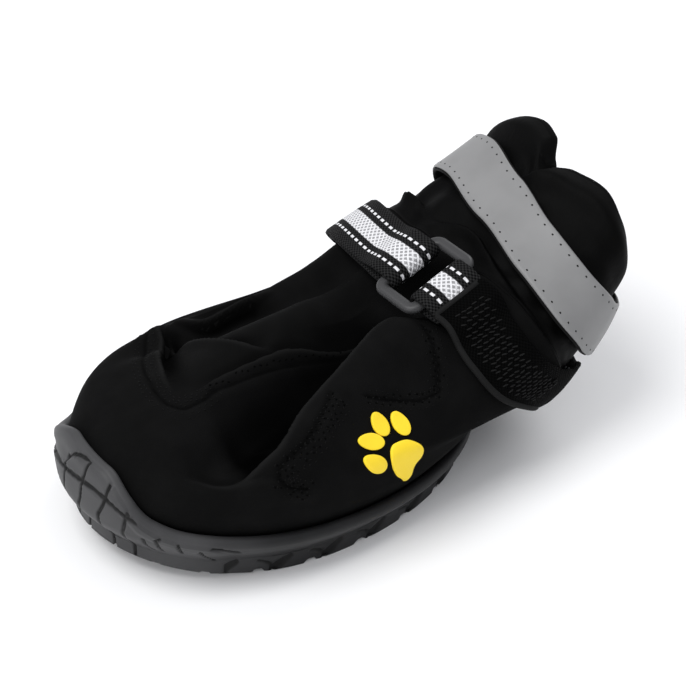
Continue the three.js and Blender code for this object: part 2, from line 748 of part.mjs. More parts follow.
// The long strap stops a little before the far end of the anchor patch
const patchEndAngle = curve(WEB_TABLE.lengths, WEB_TABLE.angles, PATCH_END);
const tailEnd = curve(WEB_TABLE.angles, WEB_TABLE.lengths, patchEndAngle - 360) + TAIL_GAP;
const longRows = ramp([[-WEB_TUCK, UNDER], [-BAR_AT - 1, UNDER]], 2.8)
  .concat(turn(-BAR_AT, 1))
  .concat(ramp([[-BAR_AT - 1.5, TOP], [-BAR_AT - 3.5, TOP], [-18, OVER], [-WEB_TUCK - 2, OVER]], 2.8))
  .concat(ramp([[-WEB_TUCK - 2, OVER], [-WEB_TUCK - 10, UNDER], [tailEnd + TAIL_RUN, UNDER]], 2.8).slice(1))
  .concat(ramp([[tailEnd + TAIL_RUN, UNDER], [tailEnd, UNDER + TAIL_LIFT]], 2.4).slice(1));
const shortRows = ramp([[PATCH_START - 1.2, UNDER], [BAR_AT + 1, UNDER]], 2)
  .concat(turn(BAR_AT, -1))
  .concat(ramp([[BAR_AT + 1.5, TOP], [BAR_AT + 3, TOP], [SHORT_END, OVER + 0.2]], 2));
addBody("long_webbing", stripBody(webPoint, longRows, WEB_THICK, WEB_WIDTH), 0x1c1c1e, 0.8, 0);
addBody("short_webbing", stripBody(webPoint, shortRows, WEB_THICK, WEB_WIDTH), 0x1c1c1e, 0.8, 0);

// Anchor patch on the near side
const patchRows = ramp([[PATCH_START, UNDER], [PATCH_END, UNDER]], 2.8);
addBody("anchor_patch", stripBody(webPoint, patchRows, WEB_THICK, WEB_WIDTH), 0x111113, 0.85, 0);

// Flat ring with rounded corners and rounded bars
function ringBody() {
  const halfL = (RING_SHORT - RING_BAR) / 2;
  const halfW = (RING_LONG - RING_BAR) / 2;
  const corner = 1.9;
  const path = [];
  for (const [sl, sw, start] of [[1, 1, 0], [-1, 1, 90], [-1, -1, 180], [1, -1, 270]]) {
    for (const a of range(4, start, start + 90)) {
      path.push({
        l: sl * (halfL - corner) + corner * Math.cos(a * RAD),
        w: sw * (halfW - corner) + corner * Math.sin(a * RAD),
        dl: Math.cos(a * RAD),
        dw: Math.sin(a * RAD),
      });
    }
  }
  const profile = [];
  const core = (RING_BAR - RING_THICK) / 2;
  for (const side of [1, -1]) {
    for (const a of range(5, -90, 90)) {
      const r = RING_THICK / 2;
      profile.push([side * (core + r * Math.cos(a * RAD)), side * r * Math.sin(a * RAD)]);
    }
  }
  const loops = path.map((p) => profile.map(([across, up]) =>
    flatPoint(p.l + p.dl * across, WEB_WIDTH / 2 + p.w + p.dw * across, BAR_LIFT + up)));
  return loft(loops, true);
}
addBody("ring", ringBody(), 0x3a3b3d, 0.45, 0);

// Loose band around the shaft
function bandBody() {
  const angles = range(57, -180, 180).slice(0, 56);
  const grid = (lift) => angles.map((a) => [0, 7.5, 15].map((v) => onBand(bandKey, a, v, lift)));
  return shell(grid(BAND_OFFSET + BAND_THICK / 2), grid(BAND_OFFSET - BAND_THICK / 2), true);
}
addBody("reflective_band", bandBody(), 0x9a9a9c, 0.4, 0.1);

// Raised paw motif on the near flank
const PAW_ANGLE = 86;
const PAW_KEY = 0.37;
const PAW_TURN = 31;
const PAW_ROWS = [
  { name: "paw_pad", a: 0, b: 0, halfA: 4.5, halfB: 4.0, tilt: 0 },
  { name: "paw_toe_1", a: -6.1, b: 5.4, halfA: 1.9, halfB: 2.8, tilt: 26 },
  { name: "paw_toe_2", a: -2.4, b: 8.9, halfA: 2.0, halfB: 3.0, tilt: 6 },
  { name: "paw_toe_3", a: 2.4, b: 8.9, halfA: 2.0, halfB: 3.0, tilt: -6 },
  { name: "paw_toe_4", a: 6.1, b: 5.4, halfA: 1.9, halfB: 2.8, tilt: -26 },
];

// Point of the near flank seen square on, forward and up from the middle of the pad
const pawCentre = envelope(PAW_ANGLE, PAW_KEY);
const pawNormal = frameOf(envelope, PAW_ANGLE - 10, PAW_KEY + 0.05).out;
const pawForward = new THREE.Vector3(1, 0, 0).addScaledVector(pawNormal, -pawNormal.x).normalize();
const pawUp = new THREE.Vector3().crossVectors(pawForward, pawNormal);
if (pawUp.z < 0) pawUp.negate();
const upperMesh = group.getObjectByName("upper");
const probe = new THREE.Raycaster();

function onFlank(a, b, lift) {
  const turned = PAW_TURN * RAD;
  const right = a * Math.cos(turned) + b * Math.sin(turned);
  const high = b * Math.cos(turned) - a * Math.sin(turned);
  const start = pawCentre.clone()
    .addScaledVector(pawForward, right)
    .addScaledVector(pawUp, high)
    .addScaledVector(pawNormal, 30);
  probe.set(start, pawNormal.clone().negate());
  const hit = probe.intersectObject(upperMesh)[0].point;
  return hit.addScaledVector(pawNormal, lift);
}

for (const row of PAW_ROWS) {
  const rings = range(13, 0, 360).slice(0, 12);
  const oval = (share, lift) => rings.map((t) => {
    const p = row.halfA * share * Math.cos(t * RAD);
    const notch = row.name === "paw_pad" ? 1 - 0.16 * Math.max(0, -Math.sin(t * RAD)) ** 6 : 1;
    const q = row.halfB * share * notch * Math.sin(t * RAD);
    const c = Math.cos(row.tilt * RAD);
    const s = Math.sin(row.tilt * RAD);
    return onFlank(row.a + p * c - q * s, row.b + p * s + q * c, lift);
  });
  const body = loft([oval(0.5, 0.6), oval(1, 0.6), oval(1, 1), oval(0.5, 1.2)], false);
  addBody(row.name, body, 0xf5cf3a, 0.7, 0);
}

export default group;
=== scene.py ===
import math

import bpy
import numpy as np
from mathutils import Matrix, Vector
from mathutils.bvhtree import BVHTree


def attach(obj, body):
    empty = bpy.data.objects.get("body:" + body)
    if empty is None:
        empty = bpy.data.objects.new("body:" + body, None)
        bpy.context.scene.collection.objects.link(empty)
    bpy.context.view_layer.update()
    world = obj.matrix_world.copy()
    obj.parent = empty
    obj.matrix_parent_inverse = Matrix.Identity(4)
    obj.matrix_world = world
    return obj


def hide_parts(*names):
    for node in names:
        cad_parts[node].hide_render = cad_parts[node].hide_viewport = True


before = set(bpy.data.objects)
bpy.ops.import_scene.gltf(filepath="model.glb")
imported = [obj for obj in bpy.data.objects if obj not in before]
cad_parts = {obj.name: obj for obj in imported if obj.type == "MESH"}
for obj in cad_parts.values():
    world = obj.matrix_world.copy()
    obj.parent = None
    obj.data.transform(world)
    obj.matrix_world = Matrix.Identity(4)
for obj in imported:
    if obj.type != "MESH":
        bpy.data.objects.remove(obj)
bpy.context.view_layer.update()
MM = 0.001

# Driving sizes in millimetres, as in the solid model
FOOT_LENGTH = 100
BALL_WIDTH = 70
INSTEP_HEIGHT = 30
HEEL_HEIGHT = 15
UPPER_WALL = 1.7
COLLAR_WALL = 2.2
GAP = 0.3
RIM_WALL = 2.3
RIM_GAP = 0.7
RIM_SEAT = 0.25
SOLE_FLOOR = 5.1
LUG_DEPTH = 1.8
TOE_SPRING = 6
HEEL_SPRING = 1.5
INSOLE_THICK = 1.8
WEB_WIDTH = 15
WEB_THICK = 1.2
BAND_THICK = 1.4
BAND_OFFSET = 1.9
RING_LONG = 21.6
RING_SHORT = 14.7
RING_BAR = 3
RING_THICK = 2.2
RIM_BOTTOM = -0.036
WEB_TUCK = 40
TAIL_RUN = 9.5
TAIL_LIFT = 1.2
TAIL_GAP = 2.5
SHORT_END = 15.5
PATCH_START = 13.2
PATCH_END = 64
RING_ANGLE = 4

# Section rows: key, front x, front z, back x, back z, half width, front and back squareness
SECTION = np.array([
    [0.0, 0.455, 0.183, -0.505, 0.367, 0.433, 2.0, 2.05],
    [0.08, 0.488, 0.4, -0.54, 0.7, 0.481, 2.05, 2.15],
    [0.18, 0.482, 0.667, -0.575, 0.933, 0.507, 2.2, 2.2],
    [0.28, 0.43, 0.917, -0.595, 1.033, 0.51, 2.25, 2.2],
    [0.4, 0.258, 1.05, -0.61, 1.0, 0.51, 2.3, 2.2],
    [0.52, 0.0, 1.1, -0.615, 0.9, 0.5, 2.3, 2.2],
    [0.64, -0.25, 1.2, -0.62, 0.767, 0.493, 2.5, 2.2],
    [0.74, -0.445, 1.4, -0.645, 0.633, 0.484, 2.8, 2.2],
    [0.86, -0.66, 1.7, -0.8, 1.35, 0.43, 2.5, 2.2],
    [1.0, -0.815, 2.067, -0.935, 2.85, 0.335, 2.3, 2.2],
    [1.05, -0.86, 2.2, -0.965, 3.25, 0.31, 2.3, 2.2],
])
# Folds as angles and depths at these keys, then spread, lean and the keys between which the fold closes
FOLD_KEYS = [0.22, 0.3, 0.35, 0.4, 0.46, 0.52, 0.58, 0.64, 0.78]
FOLDS = {
    "near_ridge": ([64, 54, 51, 49.5, 43, 36, 28.5, 20, 14],
                   [0, 1.5, 3.3, 5, 5.8, 6.2, 6.2, 5.6, 3.5], 12, -0.35, 0.648, 0.698),
    "mid_valley": ([48, 38, 33, 28, 22, 15, 8, 2, 0],
                   [0, -3, -5, -7, -8, -8.4, -8.6, -8, -4], 11, 0, 0.76, 0.83),
    "gusset": ([8, 4, 1, -2, -6, -10, -13, -16, -18],
               [0, 1, 1.3, 1.5, 1.8, 2, 1.6, 1, 0], 11, 0, 0.59, 0.64),
    "far_valley": ([-50, -48, -45, -42, -38, -34, -31, -28, -25],
                   [0, -1, -3, -5, -5.8, -6, -5.8, -5.5, -3], 11, 0, 0.76, 0.83),
    "far_ridge": ([-46, -47, -48, -49, -50, -52, -53, -54, -54],
                  [0.4, 1.2, 2.6, 2.2, -0.5, 0.2, 0.3, 0, 0], 11, 0.3, 0.59, 0.64),
    "far_flank": ([-75] * 9, [0, -0.8, -2.2, -3.4, -4.6, -4.2, -4.4, -2.6, 0], 27, 0, 0.76, 0.83),
}
RIM_ROWS = [
    (-180, 0.05), (-130, 0.06), (-105, 0.08), (-80, 0.1), (-55, 0.116), (-40, 0.13), (-30, 0.165),
    (-20, 0.215), (-8, 0.25), (8, 0.25), (20, 0.215), (30, 0.165), (40, 0.13), (55, 0.116), (80, 0.1),
    (105, 0.08), (130, 0.06), (180, 0.05),
]
COLLAR_ROWS = [
    (-180, 0.955), (-110, 0.985), (-60, 1.02), (-26, 1.035), (-8, 1.02), (5, 0.965), (16, 0.985),
    (42, 0.995), (75, 0.98), (120, 0.965), (180, 0.955),
]
WEB_ROWS = [
    (-260, 0.66), (-220, 0.7), (-180, 0.755), (-140, 0.725), (-90, 0.675), (-44, 0.685), (0, 0.682),
    (22, 0.688), (50, 0.668), (87, 0.645), (130, 0.69), (180, 0.755),
]
BAND_ROWS = [
    (-180, 0.85), (-90, 0.862), (-35, 0.852), (0, 0.822), (26, 0.8), (60, 0.792), (90, 0.802),
    (110, 0.818), (135, 0.838), (180, 0.85),
]


def curve(xs, ys, at):
    """Smooth monotone curve through rows, as in the solid model."""
    xs = np.asarray(xs, float)
    ys = np.asarray(ys, float)
    gaps = np.diff(xs)
    rises = np.diff(ys) / gaps
    slopes = np.zeros(len(xs))
    slopes[0] = rises[0]
    slopes[-1] = rises[-1]
    before, after = rises[:-1], rises[1:]
    a, b = gaps[:-1], gaps[1:]
    same = before * after > 0
    top = 3 * (a + b)[same]
    slopes[1:-1][same] = top / ((2 * b + a)[same] / before[same] + (b + 2 * a)[same] / after[same])
    x = np.clip(at, xs[0], xs[-1])
    k = np.clip(np.searchsorted(xs, x, side="left") - 1, 0, len(xs) - 2)
    h = gaps[k]
    t = (x - xs[k]) / h
    u = 1 - t
    low = ys[k] * (1 + 2 * t) * u * u + h * slopes[k] * t * u * u
    high = ys[k + 1] * t * t * (3 - 2 * t) + h * slopes[k + 1] * t * t * (t - 1)
    return low + high


def by_angle(rows):
    xs = [r[0] for r in rows]
    ys = [r[1] for r in rows]
    return lambda at: curve(xs, ys, at)


rim_key = by_angle(RIM_ROWS)
collar_key = by_angle(COLLAR_ROWS)
web_key = by_angle(WEB_ROWS)
band_key = by_angle(BAND_ROWS)


def step(low, high, x):
    t = np.clip((x - low) / (high - low), 0, 1)
    return t * t * (3 - 2 * t)


def fade(low, high, x):
    return 1 - step(low, high, x)


def bell(x, power=2):
    return np.exp(-(x ** power))


def wrap(angle):
    return (np.asarray(angle, float) + 900) % 360 - 180


def spring(x):
    toe = np.maximum((x - 8) / 40, 0)
    heel = np.maximum((-34 - x) / 18, 0)
    return TOE_SPRING * toe**2 + HEEL_SPRING * heel**2


def bent(value, power):
    return np.sign(value) * np.abs(value) ** power


def unit(v):
    return v / (np.linalg.norm(v, axis=-1, keepdims=True) + 1e-12)


def run_along(points):
    """Length of the way from the first point to each one."""
    return np.concatenate([[0], np.cumsum(np.linalg.norm(np.diff(points, axis=0), axis=1))])


def envelope(angle, key):
    """Plain form of the upper without folds, by angle round the foot and key up its rings."""
    angle, key = np.broadcast_arrays(np.asarray(angle, float), np.asarray(key, float))
    k = np.maximum(key, 0)
    c = np.cos(np.radians(angle))
    s = np.sin(np.radians(angle))
    front_x, front_z, back_x, back_z, half, sq_front, sq_back = (
        curve(SECTION[:, 0], SECTION[:, i], k) for i in range(1, 8))
    square = np.where(c > 0, sq_front, sq_back)
    reach = bent(c, 2 / square)
    front_x, back_x = front_x * FOOT_LENGTH, back_x * FOOT_LENGTH
    front_z, back_z = front_z * INSTEP_HEIGHT, back_z * HEEL_HEIGHT
    x = (front_x + back_x) / 2 + reach * (front_x - back_x) / 2
    y = bent(s, 2 / square) * half * BALL_WIDTH
    z = (front_z + back_z) / 2 + reach * (front_z - back_z) / 2
    z = z + spring(x) * (1 - step(0, 0.22, k)) + np.where(key < 0, key * 100, 0)
    return np.stack([x, y, z], -1)


def frame_of(angle, key):
    """Directions round, up and out of the plain form."""
    around = unit(envelope(angle + 0.6, key) - envelope(angle - 0.6, key))
    along = unit(envelope(angle, key + 0.003) - envelope(angle, key - 0.003))
    return around, along, unit(np.cross(around, along))


def fold_shift(angle, key):
    """Outward and sideways moves of the large folds."""
    start = step(0.18, 0.24, key)
    out = np.zeros(np.shape(key))
    side = np.zeros(np.shape(key))
    for angles, depths, spread, lean, closing, closed in FOLDS.values():
        away = wrap(angle - curve(FOLD_KEYS, angles, key))
        size = curve(FOLD_KEYS, depths, key) * start * fade(closing, closed, key) * bell(away / spread)
        out = out + size
        side = side + size * lean
    return out, side


def step_shift(angle, key):
    """The cuff set in behind the softshell's hem, and the bulge of the collar's roll."""
    roll = collar_key(wrap(angle)) - 0.028
    return -0.9 * step(0.772, 0.78, key) + 1.5 * bell((key - roll) / 0.024)


# Sharp folds as rows of angle, key, crest height, drop and overhang, with closing noughts left out.
# The high side is on the right of the line. Before the rows stand the widths of crest, drop and hollow
# and the reach of the shade.
LEDGES = {
    "flank": (2.6, 1, 5, 15, [
        (44, 0.3), (46.5, 0.32, 0.3, 1.2, 0.3), (47.5, 0.335, 0.5, 2.4, 0.8), (48, 0.352, 0.6, 3, 1.2),
        (48, 0.372, 0.7, 2.6, 1.2), (47.5, 0.39, 0.7, 2.4, 1.2), (46, 0.408, 0.7, 2.6, 1.2),
        (43.5, 0.43, 0.7, 2.8, 1.3), (40, 0.452, 0.7, 2.8, 1.3), (37, 0.472, 0.7, 2.8, 1.3),
        (34.5, 0.496, 0.7, 3, 1.4), (30.5, 0.53, 0.7, 3.4, 1.5), (26.5, 0.558, 0.7, 3.6, 1.5),
        (22.5, 0.588, 0.7, 3.8, 1.6), (18, 0.618, 0.6, 3.8, 1.6), (15, 0.644, 0.3, 3.4, 1.4),
        (12.5, 0.664, 0, 2.2, 0.8), (10.5, 0.685)]),
    "toe_box": (2.4, 0.9, 5, 4, [
        (-64, 0.36), (-56, 0.378, 0.6, 0.6), (-50, 0.394, 1.3, 1.8, 0.3), (-45, 0.404, 1.2, 2.4, 0.5),
        (-36, 0.41, 0.8, 2.6, 0.6), (-26, 0.413, 0.7, 2.4, 0.5), (-15, 0.411, 0.6, 1.9, 0.4),
        (-8, 0.406, 0.4, 1.1, 0.2), (0, 0.4)]),
    "tongue": (2, 1, 4.5, 3.5, [
        (-47, 0.415, 0.2, 0.4), (-38, 0.43, 1.3, 1.6, 0.3), (-28, 0.45, 1.4, 2, 0.4),
        (-18, 0.472, 1, 2, 0.5), (-9, 0.492, 0.7, 1.8, 0.5), (-5, 0.508, 0.5, 1.2, 0.3), (-2, 0.53)]),
    "gusset": (1.5, 0.7, 4, 2.5, [
        (3.5, 0.425), (2, 0.436, 0.45, 0.4, 0.1), (1, 0.456, 0.6, 0.9, 0.3), (0.5, 0.481, 0.6, 1.1, 0.3),
        (0, 0.509, 0.6, 1.2, 0.3), (-0.5, 0.536, 0.6, 1.2, 0.3), (0, 0.559, 0.5, 1.2, 0.3),
        (1.5, 0.589, 0.4, 1.3, 0.3), (2.5, 0.621, 0.2, 0.8), (4, 0.645)]),
    "far_lip": (1.6, 0.8, 4.5, 5, [
        (-44, 0.575), (-47, 0.55, 0.6, 1.4, 0.2), (-50, 0.53, 0.9, 2.4, 0.5), (-52, 0.505, 0.9, 2.6, 0.5),
        (-53, 0.475, 0.9, 2.6, 0.5), (-55, 0.448, 0.9, 2.2, 0.4), (-56, 0.42, 0.5, 0.8), (-57, 0.4)]),
    "lip": (1.4, 0.9, 2.6, 2, [
        (29, 0.302), (34, 0.308, 0.35, 0.5), (40, 0.302, 0.5, 0.8), (44, 0.304, 0.5, 0.9),
        (48, 0.314, 0.4, 0.8), (53, 0.322, 0.2, 0.3), (58, 0.325)]),
    "cuff_hem": (1.3, 0.7, 3, 3, [
        (-84, 0.81), (-66, 0.806, 1, 0.8), (-52, 0.803, 1.5, 1.2, 0.3), (-40, 0.806, 1.3, 1.2, 0.3),
        (-30, 0.8, 0.7, 0.8, 0.2), (-20, 0.79)]),
    "cuff_flap": (2, 1, 3, 3, [
        (-16, 0.79), (-8, 0.8, 0.8, 0.6, 0.3), (-1, 0.808, 1.2, 1, 0.5), (6, 0.8, 1.1, 1, 0.4),
        (16, 0.79, 0.9, 0.8, 0.3), (30, 0.782, 0.7, 0.6, 0.2), (50, 0.776, 0.4, 0.4), (75, 0.77)]),
    "collar_notch": (3.2, 1.2, 5, 3, [
        (-4, 0.905), (0, 0.925, 0.8, 1.5, 0.5), (3, 0.935, 1.2, 2.4, 0.9), (6, 0.947, 1.4, 2.8, 1),
        (8.5, 0.962, 1.4, 2.6, 1), (9, 0.975, 1.2, 2, 0.8), (9, 1, 1, 1.6, 0.6)]),
}

# Sewn lines of the upper as angle and key
SEAMS = {
    "gusset": [
        (-52, 0.366), (-40, 0.38), (-27, 0.389), (-7.5, 0.386), (-1, 0.383), (3, 0.389), (5.5, 0.401),
        (5.2, 0.426), (4, 0.44)],
    "tongue": [
        (4, 0.44), (3.5, 0.47), (3, 0.51), (2.8, 0.55), (4, 0.6)],
    "heel_patch": [
        (22.5, 0.669), (30, 0.662), (35, 0.652), (42, 0.639), (48.5, 0.619), (53.5, 0.606), (53, 0.581),
        (49, 0.565), (45, 0.545), (42.5, 0.53)],
    "flank": [
        (38, 0.5), (42, 0.478), (45.5, 0.455), (49, 0.432), (51.5, 0.405), (52.5, 0.38), (53, 0.358),
        (55, 0.335), (60, 0.31), (67, 0.29)],
}


def line_points(rows, spacing=0.4):
    """Columns of a line on the form every so many millimetres."""
    rows = np.array(rows, float)
    at = np.linspace(0, 1, len(rows))
    fine = np.stack([curve(at, rows[:, c], np.linspace(0, 1, 300)) for c in range(rows.shape[1])], 1)
    place = envelope(fine[:, 0], fine[:, 1])
    run = run_along(place)
    want = np.linspace(0, run[-1], max(2, int(run[-1] / spacing)))
    return np.stack([np.interp(want, run, fine[:, c]) for c in range(rows.shape[1])], 1)


def nearest_on(flat, line):
    """Distance to a line's points and the number of the nearest one."""
    best = np.full(len(flat), 1e6)
    index = np.zeros(len(flat), int)
    for k in range(0, len(line), 32):
        gap = ((flat[:, None, :] - line[None, k:k + 32, :]) ** 2).sum(2)
        at = gap.argmin(1)
        low = gap[np.arange(len(flat)), at]
        better = low < best
        best[better] = low[better]
        index[better] = at[better] + k
    return np.sqrt(best), index


def noise(points, size, seed):
    """Smooth pseudo-random waves of about that wavelength, from -1 to 1."""
    rng = np.random.default_rng(seed)
    total = np.zeros(points.shape[:-1])
    for _ in range(7):
        direction = unit(rng.normal(size=3)) * 2 * math.pi / (size * rng.uniform(0.75, 1.5))
        total = total + np.sin(points @ direction + rng.uniform(0, 6.28))
    return total / 4.2


def line_frame(rows):
    """Points along a line with its values and the direction to its right."""
    line = line_points(rows)
    place = envelope(line[:, 0], line[:, 1])
    _, _, out = frame_of(line[:, 0], line[:, 1])
    return line, place, unit(np.cross(unit(np.gradient(place, axis=0)), out))


LEDGE_LINES = [
    (line_frame([(*row, 0, 0, 0)[:5] for row in rows]), widths) for *widths, rows in LEDGES.values()]
SEAM_LINES = [line_frame(rows) for rows in SEAMS.values()]
# How far round a line its points are looked for, and the drops at which shade and light are full
LEDGE_NEAR = 14
SEAM_NEAR = 4
FULL_SHADE = 2.6
FULL_LIGHT = 1.6
# Height, place and width of what a seam raises, sinks and darkens with painted shade
SEAM_RIDGE = 0.18, 1.9, 1.1
SEAM_GROOVE = 0.3, 0, 0.45
SEAM_SHADE = 0.6, 0, 0.4
FAR_DIP = 2.6
FAR_DIP_ANGLE = -72
COLLAR_PAD = 0.12


def close_to(flat, place, margin):
    return np.all((flat > place.min(0) - margin) & (flat < place.max(0) + margin), axis=1)


def hump(distance, height, at, width):
    return height * bell((distance - at) / width)


def fine_shift(angle, key, base, out):
    """Sharp folds, seam grooves and small wrinkles as moves, and the painted shade of fold edges and seams
    and the painted highlight of fold crests.
    """
    flat = base.reshape(-1, 3)
    push, shade, light = np.zeros((3, len(flat)))
    move = np.zeros((len(flat), 3))
    for (line, place, right), (crest, fall, hollow, reach) in LEDGE_LINES:
        near = close_to(flat, place, LEDGE_NEAR)
        distance, index = nearest_on(flat[near], place)
        gap = flat[near] - place[index]
        d = np.where(np.einsum("ij,ij->i", gap, right[index]) >= 0, distance, -distance)
        high, drop, over = line[index, 2:].T
        low = step(0, fall, -d)
        beyond = np.maximum(-d - fall, 0)
        rise = bell(np.maximum(d, 0) / crest)
        push[near] += high * rise * (1 - low) - drop * low * bell(beyond / hollow)
        move[near] -= right[index] * (over * rise * fade(0, fall * 0.8, -d))[:, None]
        # Painted shade in the hollow beyond each fold edge, and a painted highlight just over its crest
        dark = np.minimum(drop / FULL_SHADE, 1) * step(-0.1, 0.5, -d) * bell(beyond / reach, 4)
        shade[near] = np.maximum(shade[near], dark)
        edge = np.minimum(drop / FULL_LIGHT, 1) * hump(d, 1, 0.25, 0.6)
        light[near] = np.maximum(light[near], edge)
    for _, place, _ in SEAM_LINES:
        near = close_to(flat, place, SEAM_NEAR)
        distance, _ = nearest_on(flat[near], place)
        push[near] += hump(distance, *SEAM_RIDGE) - hump(distance, *SEAM_GROOVE)
        # Painted shade along the seam groove
        shade[near] = np.maximum(shade[near], hump(distance, *SEAM_SHADE))
    shape = base.shape[:-1]
    push = push.reshape(shape)
    # Waves of the softshell over the foot
    front = step(0.2, 0.34, key) * fade(0.7, 0.76, key) * fade(70, 120, np.abs(angle))
    push = push + 0.2 * front * noise(base, 13, 3)
    # Gathers of the thin cuff
    cuff = step(0.785, 0.8, key) * fade(0.9, 0.94, key)
    gather = np.sin(np.radians(angle * 13) + 2.2 * noise(base, 24, 5))
    push = push + cuff * (0.45 * gather * fade(0.83, 0.87, key) + 0.25 * noise(base, 7, 6))
    # Hollow behind the toe box on the far side
    dip = bell((wrap(angle) - FAR_DIP_ANGLE) / 16) * step(0.4, 0.45, key) * fade(0.5, 0.6, key)
    push = push - FAR_DIP * dip
    # Padded collar
    top = collar_key(wrap(angle))
    share = np.clip((key - top + COLLAR_PAD) / COLLAR_PAD, 0, 1)
    puff = np.sin(math.pi * share) ** 0.7
    push = push + step(top - 0.11, top - 0.07, key) * (0.9 * puff + 0.4 * noise(base, 13, 9))
    return push, move.reshape(base.shape), np.stack([shade.reshape(shape), light.reshape(shape)], -1)


def upper_form(angle, key):
    """Points of the dressed outer skin, the smooth outward direction, and its painted shade and light."""
    angle, key = np.broadcast_arrays(np.asarray(angle, float), np.asarray(key, float))
    base = envelope(angle, key)
    around, _, out = frame_of(angle, key)
    push, side = fold_shift(angle, key)
    fine, move, shade = fine_shift(angle, key, base, out)
    push = push + step_shift(angle, key) + fine
    return base + out * push[..., None] + around * side[..., None] + move, out, shade


# Mesh helpers
def mesh_piece(name, points, faces, uv=None, material_index=None):
    """Smooth mesh object from points in millimetres."""
    mesh = bpy.data.meshes.new(name)
    mesh.vertices.add(len(points))
    mesh.vertices.foreach_set("co", (np.asarray(points) * MM).astype(np.float32).ravel())
    faces = np.asarray(faces, np.int32)
    size = faces.shape[1]
    mesh.loops.add(faces.size)
    mesh.loops.foreach_set("vertex_index", faces.ravel())
    mesh.polygons.add(len(faces))
    mesh.polygons.foreach_set("loop_start", np.arange(len(faces), dtype=np.int32) * size)
    if material_index is not None:
        mesh.polygons.foreach_set("material_index", np.asarray(material_index, np.int32))
    mesh.polygons.foreach_set("use_smooth", np.ones(len(faces), bool))
    if uv is not None:
        layer = mesh.uv_layers.new(name="mm")
        layer.data.foreach_set("uv", np.asarray(uv, np.float32)[faces.ravel()].ravel())
    mesh.update(calc_edges=True)
    mesh.validate()
    thing = bpy.data.objects.new(name, mesh)
    bpy.context.scene.collection.objects.link(thing)
    return thing


def grid_faces(rows, cols, closed_rows):
    """Quads of a grid of points in row order whose columns close into rings."""
    i = np.arange(rows if closed_rows else rows - 1)
    i, j = np.meshgrid(i, np.arange(cols), indexing="ij")
    n = (i + 1) % rows
    m = (j + 1) % cols
    return np.stack([i * cols + j, n * cols + j, n * cols + m, i * cols + m], -1).reshape(-1, 4)


def outward(points, faces):
    """Turns the faces round if the body they close is inside out."""
    a, b, c, d = (points[faces[:, k]] for k in range(4))
    volume = np.einsum("ij,ij->i", a, np.cross(b, c)).sum() + np.einsum("ij,ij->i", a, np.cross(c, d)).sum()
    return faces[:, ::-1] if volume < 0 else faces


def loop_grid(name, grid, closed_rows, uv=None, material_index=None):
    """Closed body from a grid whose columns go round a cross-section."""
    rows, cols = grid.shape[:2]
    points = grid.reshape(-1, 3)
    faces = grid_faces(rows, cols, closed_rows)
    if not closed_rows:
        j = np.arange(cols // 2 - 1)
        first = np.stack([j, j + 1, cols - 2 - j, cols - 1 - j], -1)
        last = (first + (rows - 1) * cols)[:, ::-1]
        faces = np.concatenate([faces, first, last])
    flat_uv = None if uv is None else uv.reshape(-1, 2)
    return mesh_piece(name, points, outward(points, faces), flat_uv, material_index)


def capsules(name, centres, along, out, length, width, height):
    """Small rounded stitches lying on a surface, merged into one mesh."""
    around = 6
    sections = np.array([(-0.5, 0.0), (-0.42, 0.62), (-0.2, 1.0), (0.2, 1.0), (0.42, 0.62), (0.5, 0.0)])
    t = np.arange(around) * 2 * math.pi / around
    side = np.cross(along, out)
    shape = np.concatenate([
        np.stack([np.full(around, x), r * np.cos(t) * 0.5, r * np.sin(t) * 0.5], -1) for x, r in sections])
    length = np.broadcast_to(np.asarray(length, float), len(centres))
    points = (centres[:, None, :]
              + along[:, None, :] * (shape[None, :, 0:1] * length[:, None, None])
              + side[:, None, :] * (shape[None, :, 1:2] * width)
              + out[:, None, :] * (shape[None, :, 2:3] * height))
    one = grid_faces(len(sections), around, False)
    faces = (one[None] + (np.arange(len(centres)) * len(shape))[:, None, None]).reshape(-1, 4)
    return mesh_piece(name, points.reshape(-1, 3), faces[:, ::-1])


# Materials
def srgb(*value):
    """Linear colour of one grey level or of three levels from 0 to 255."""
    v = np.asarray(value if len(value) == 3 else value * 3, float) / 255
    return tuple(np.where(v <= 0.04045, v / 12.92, ((v + 0.055) / 1.055) ** 2.4)) + (1.0,)


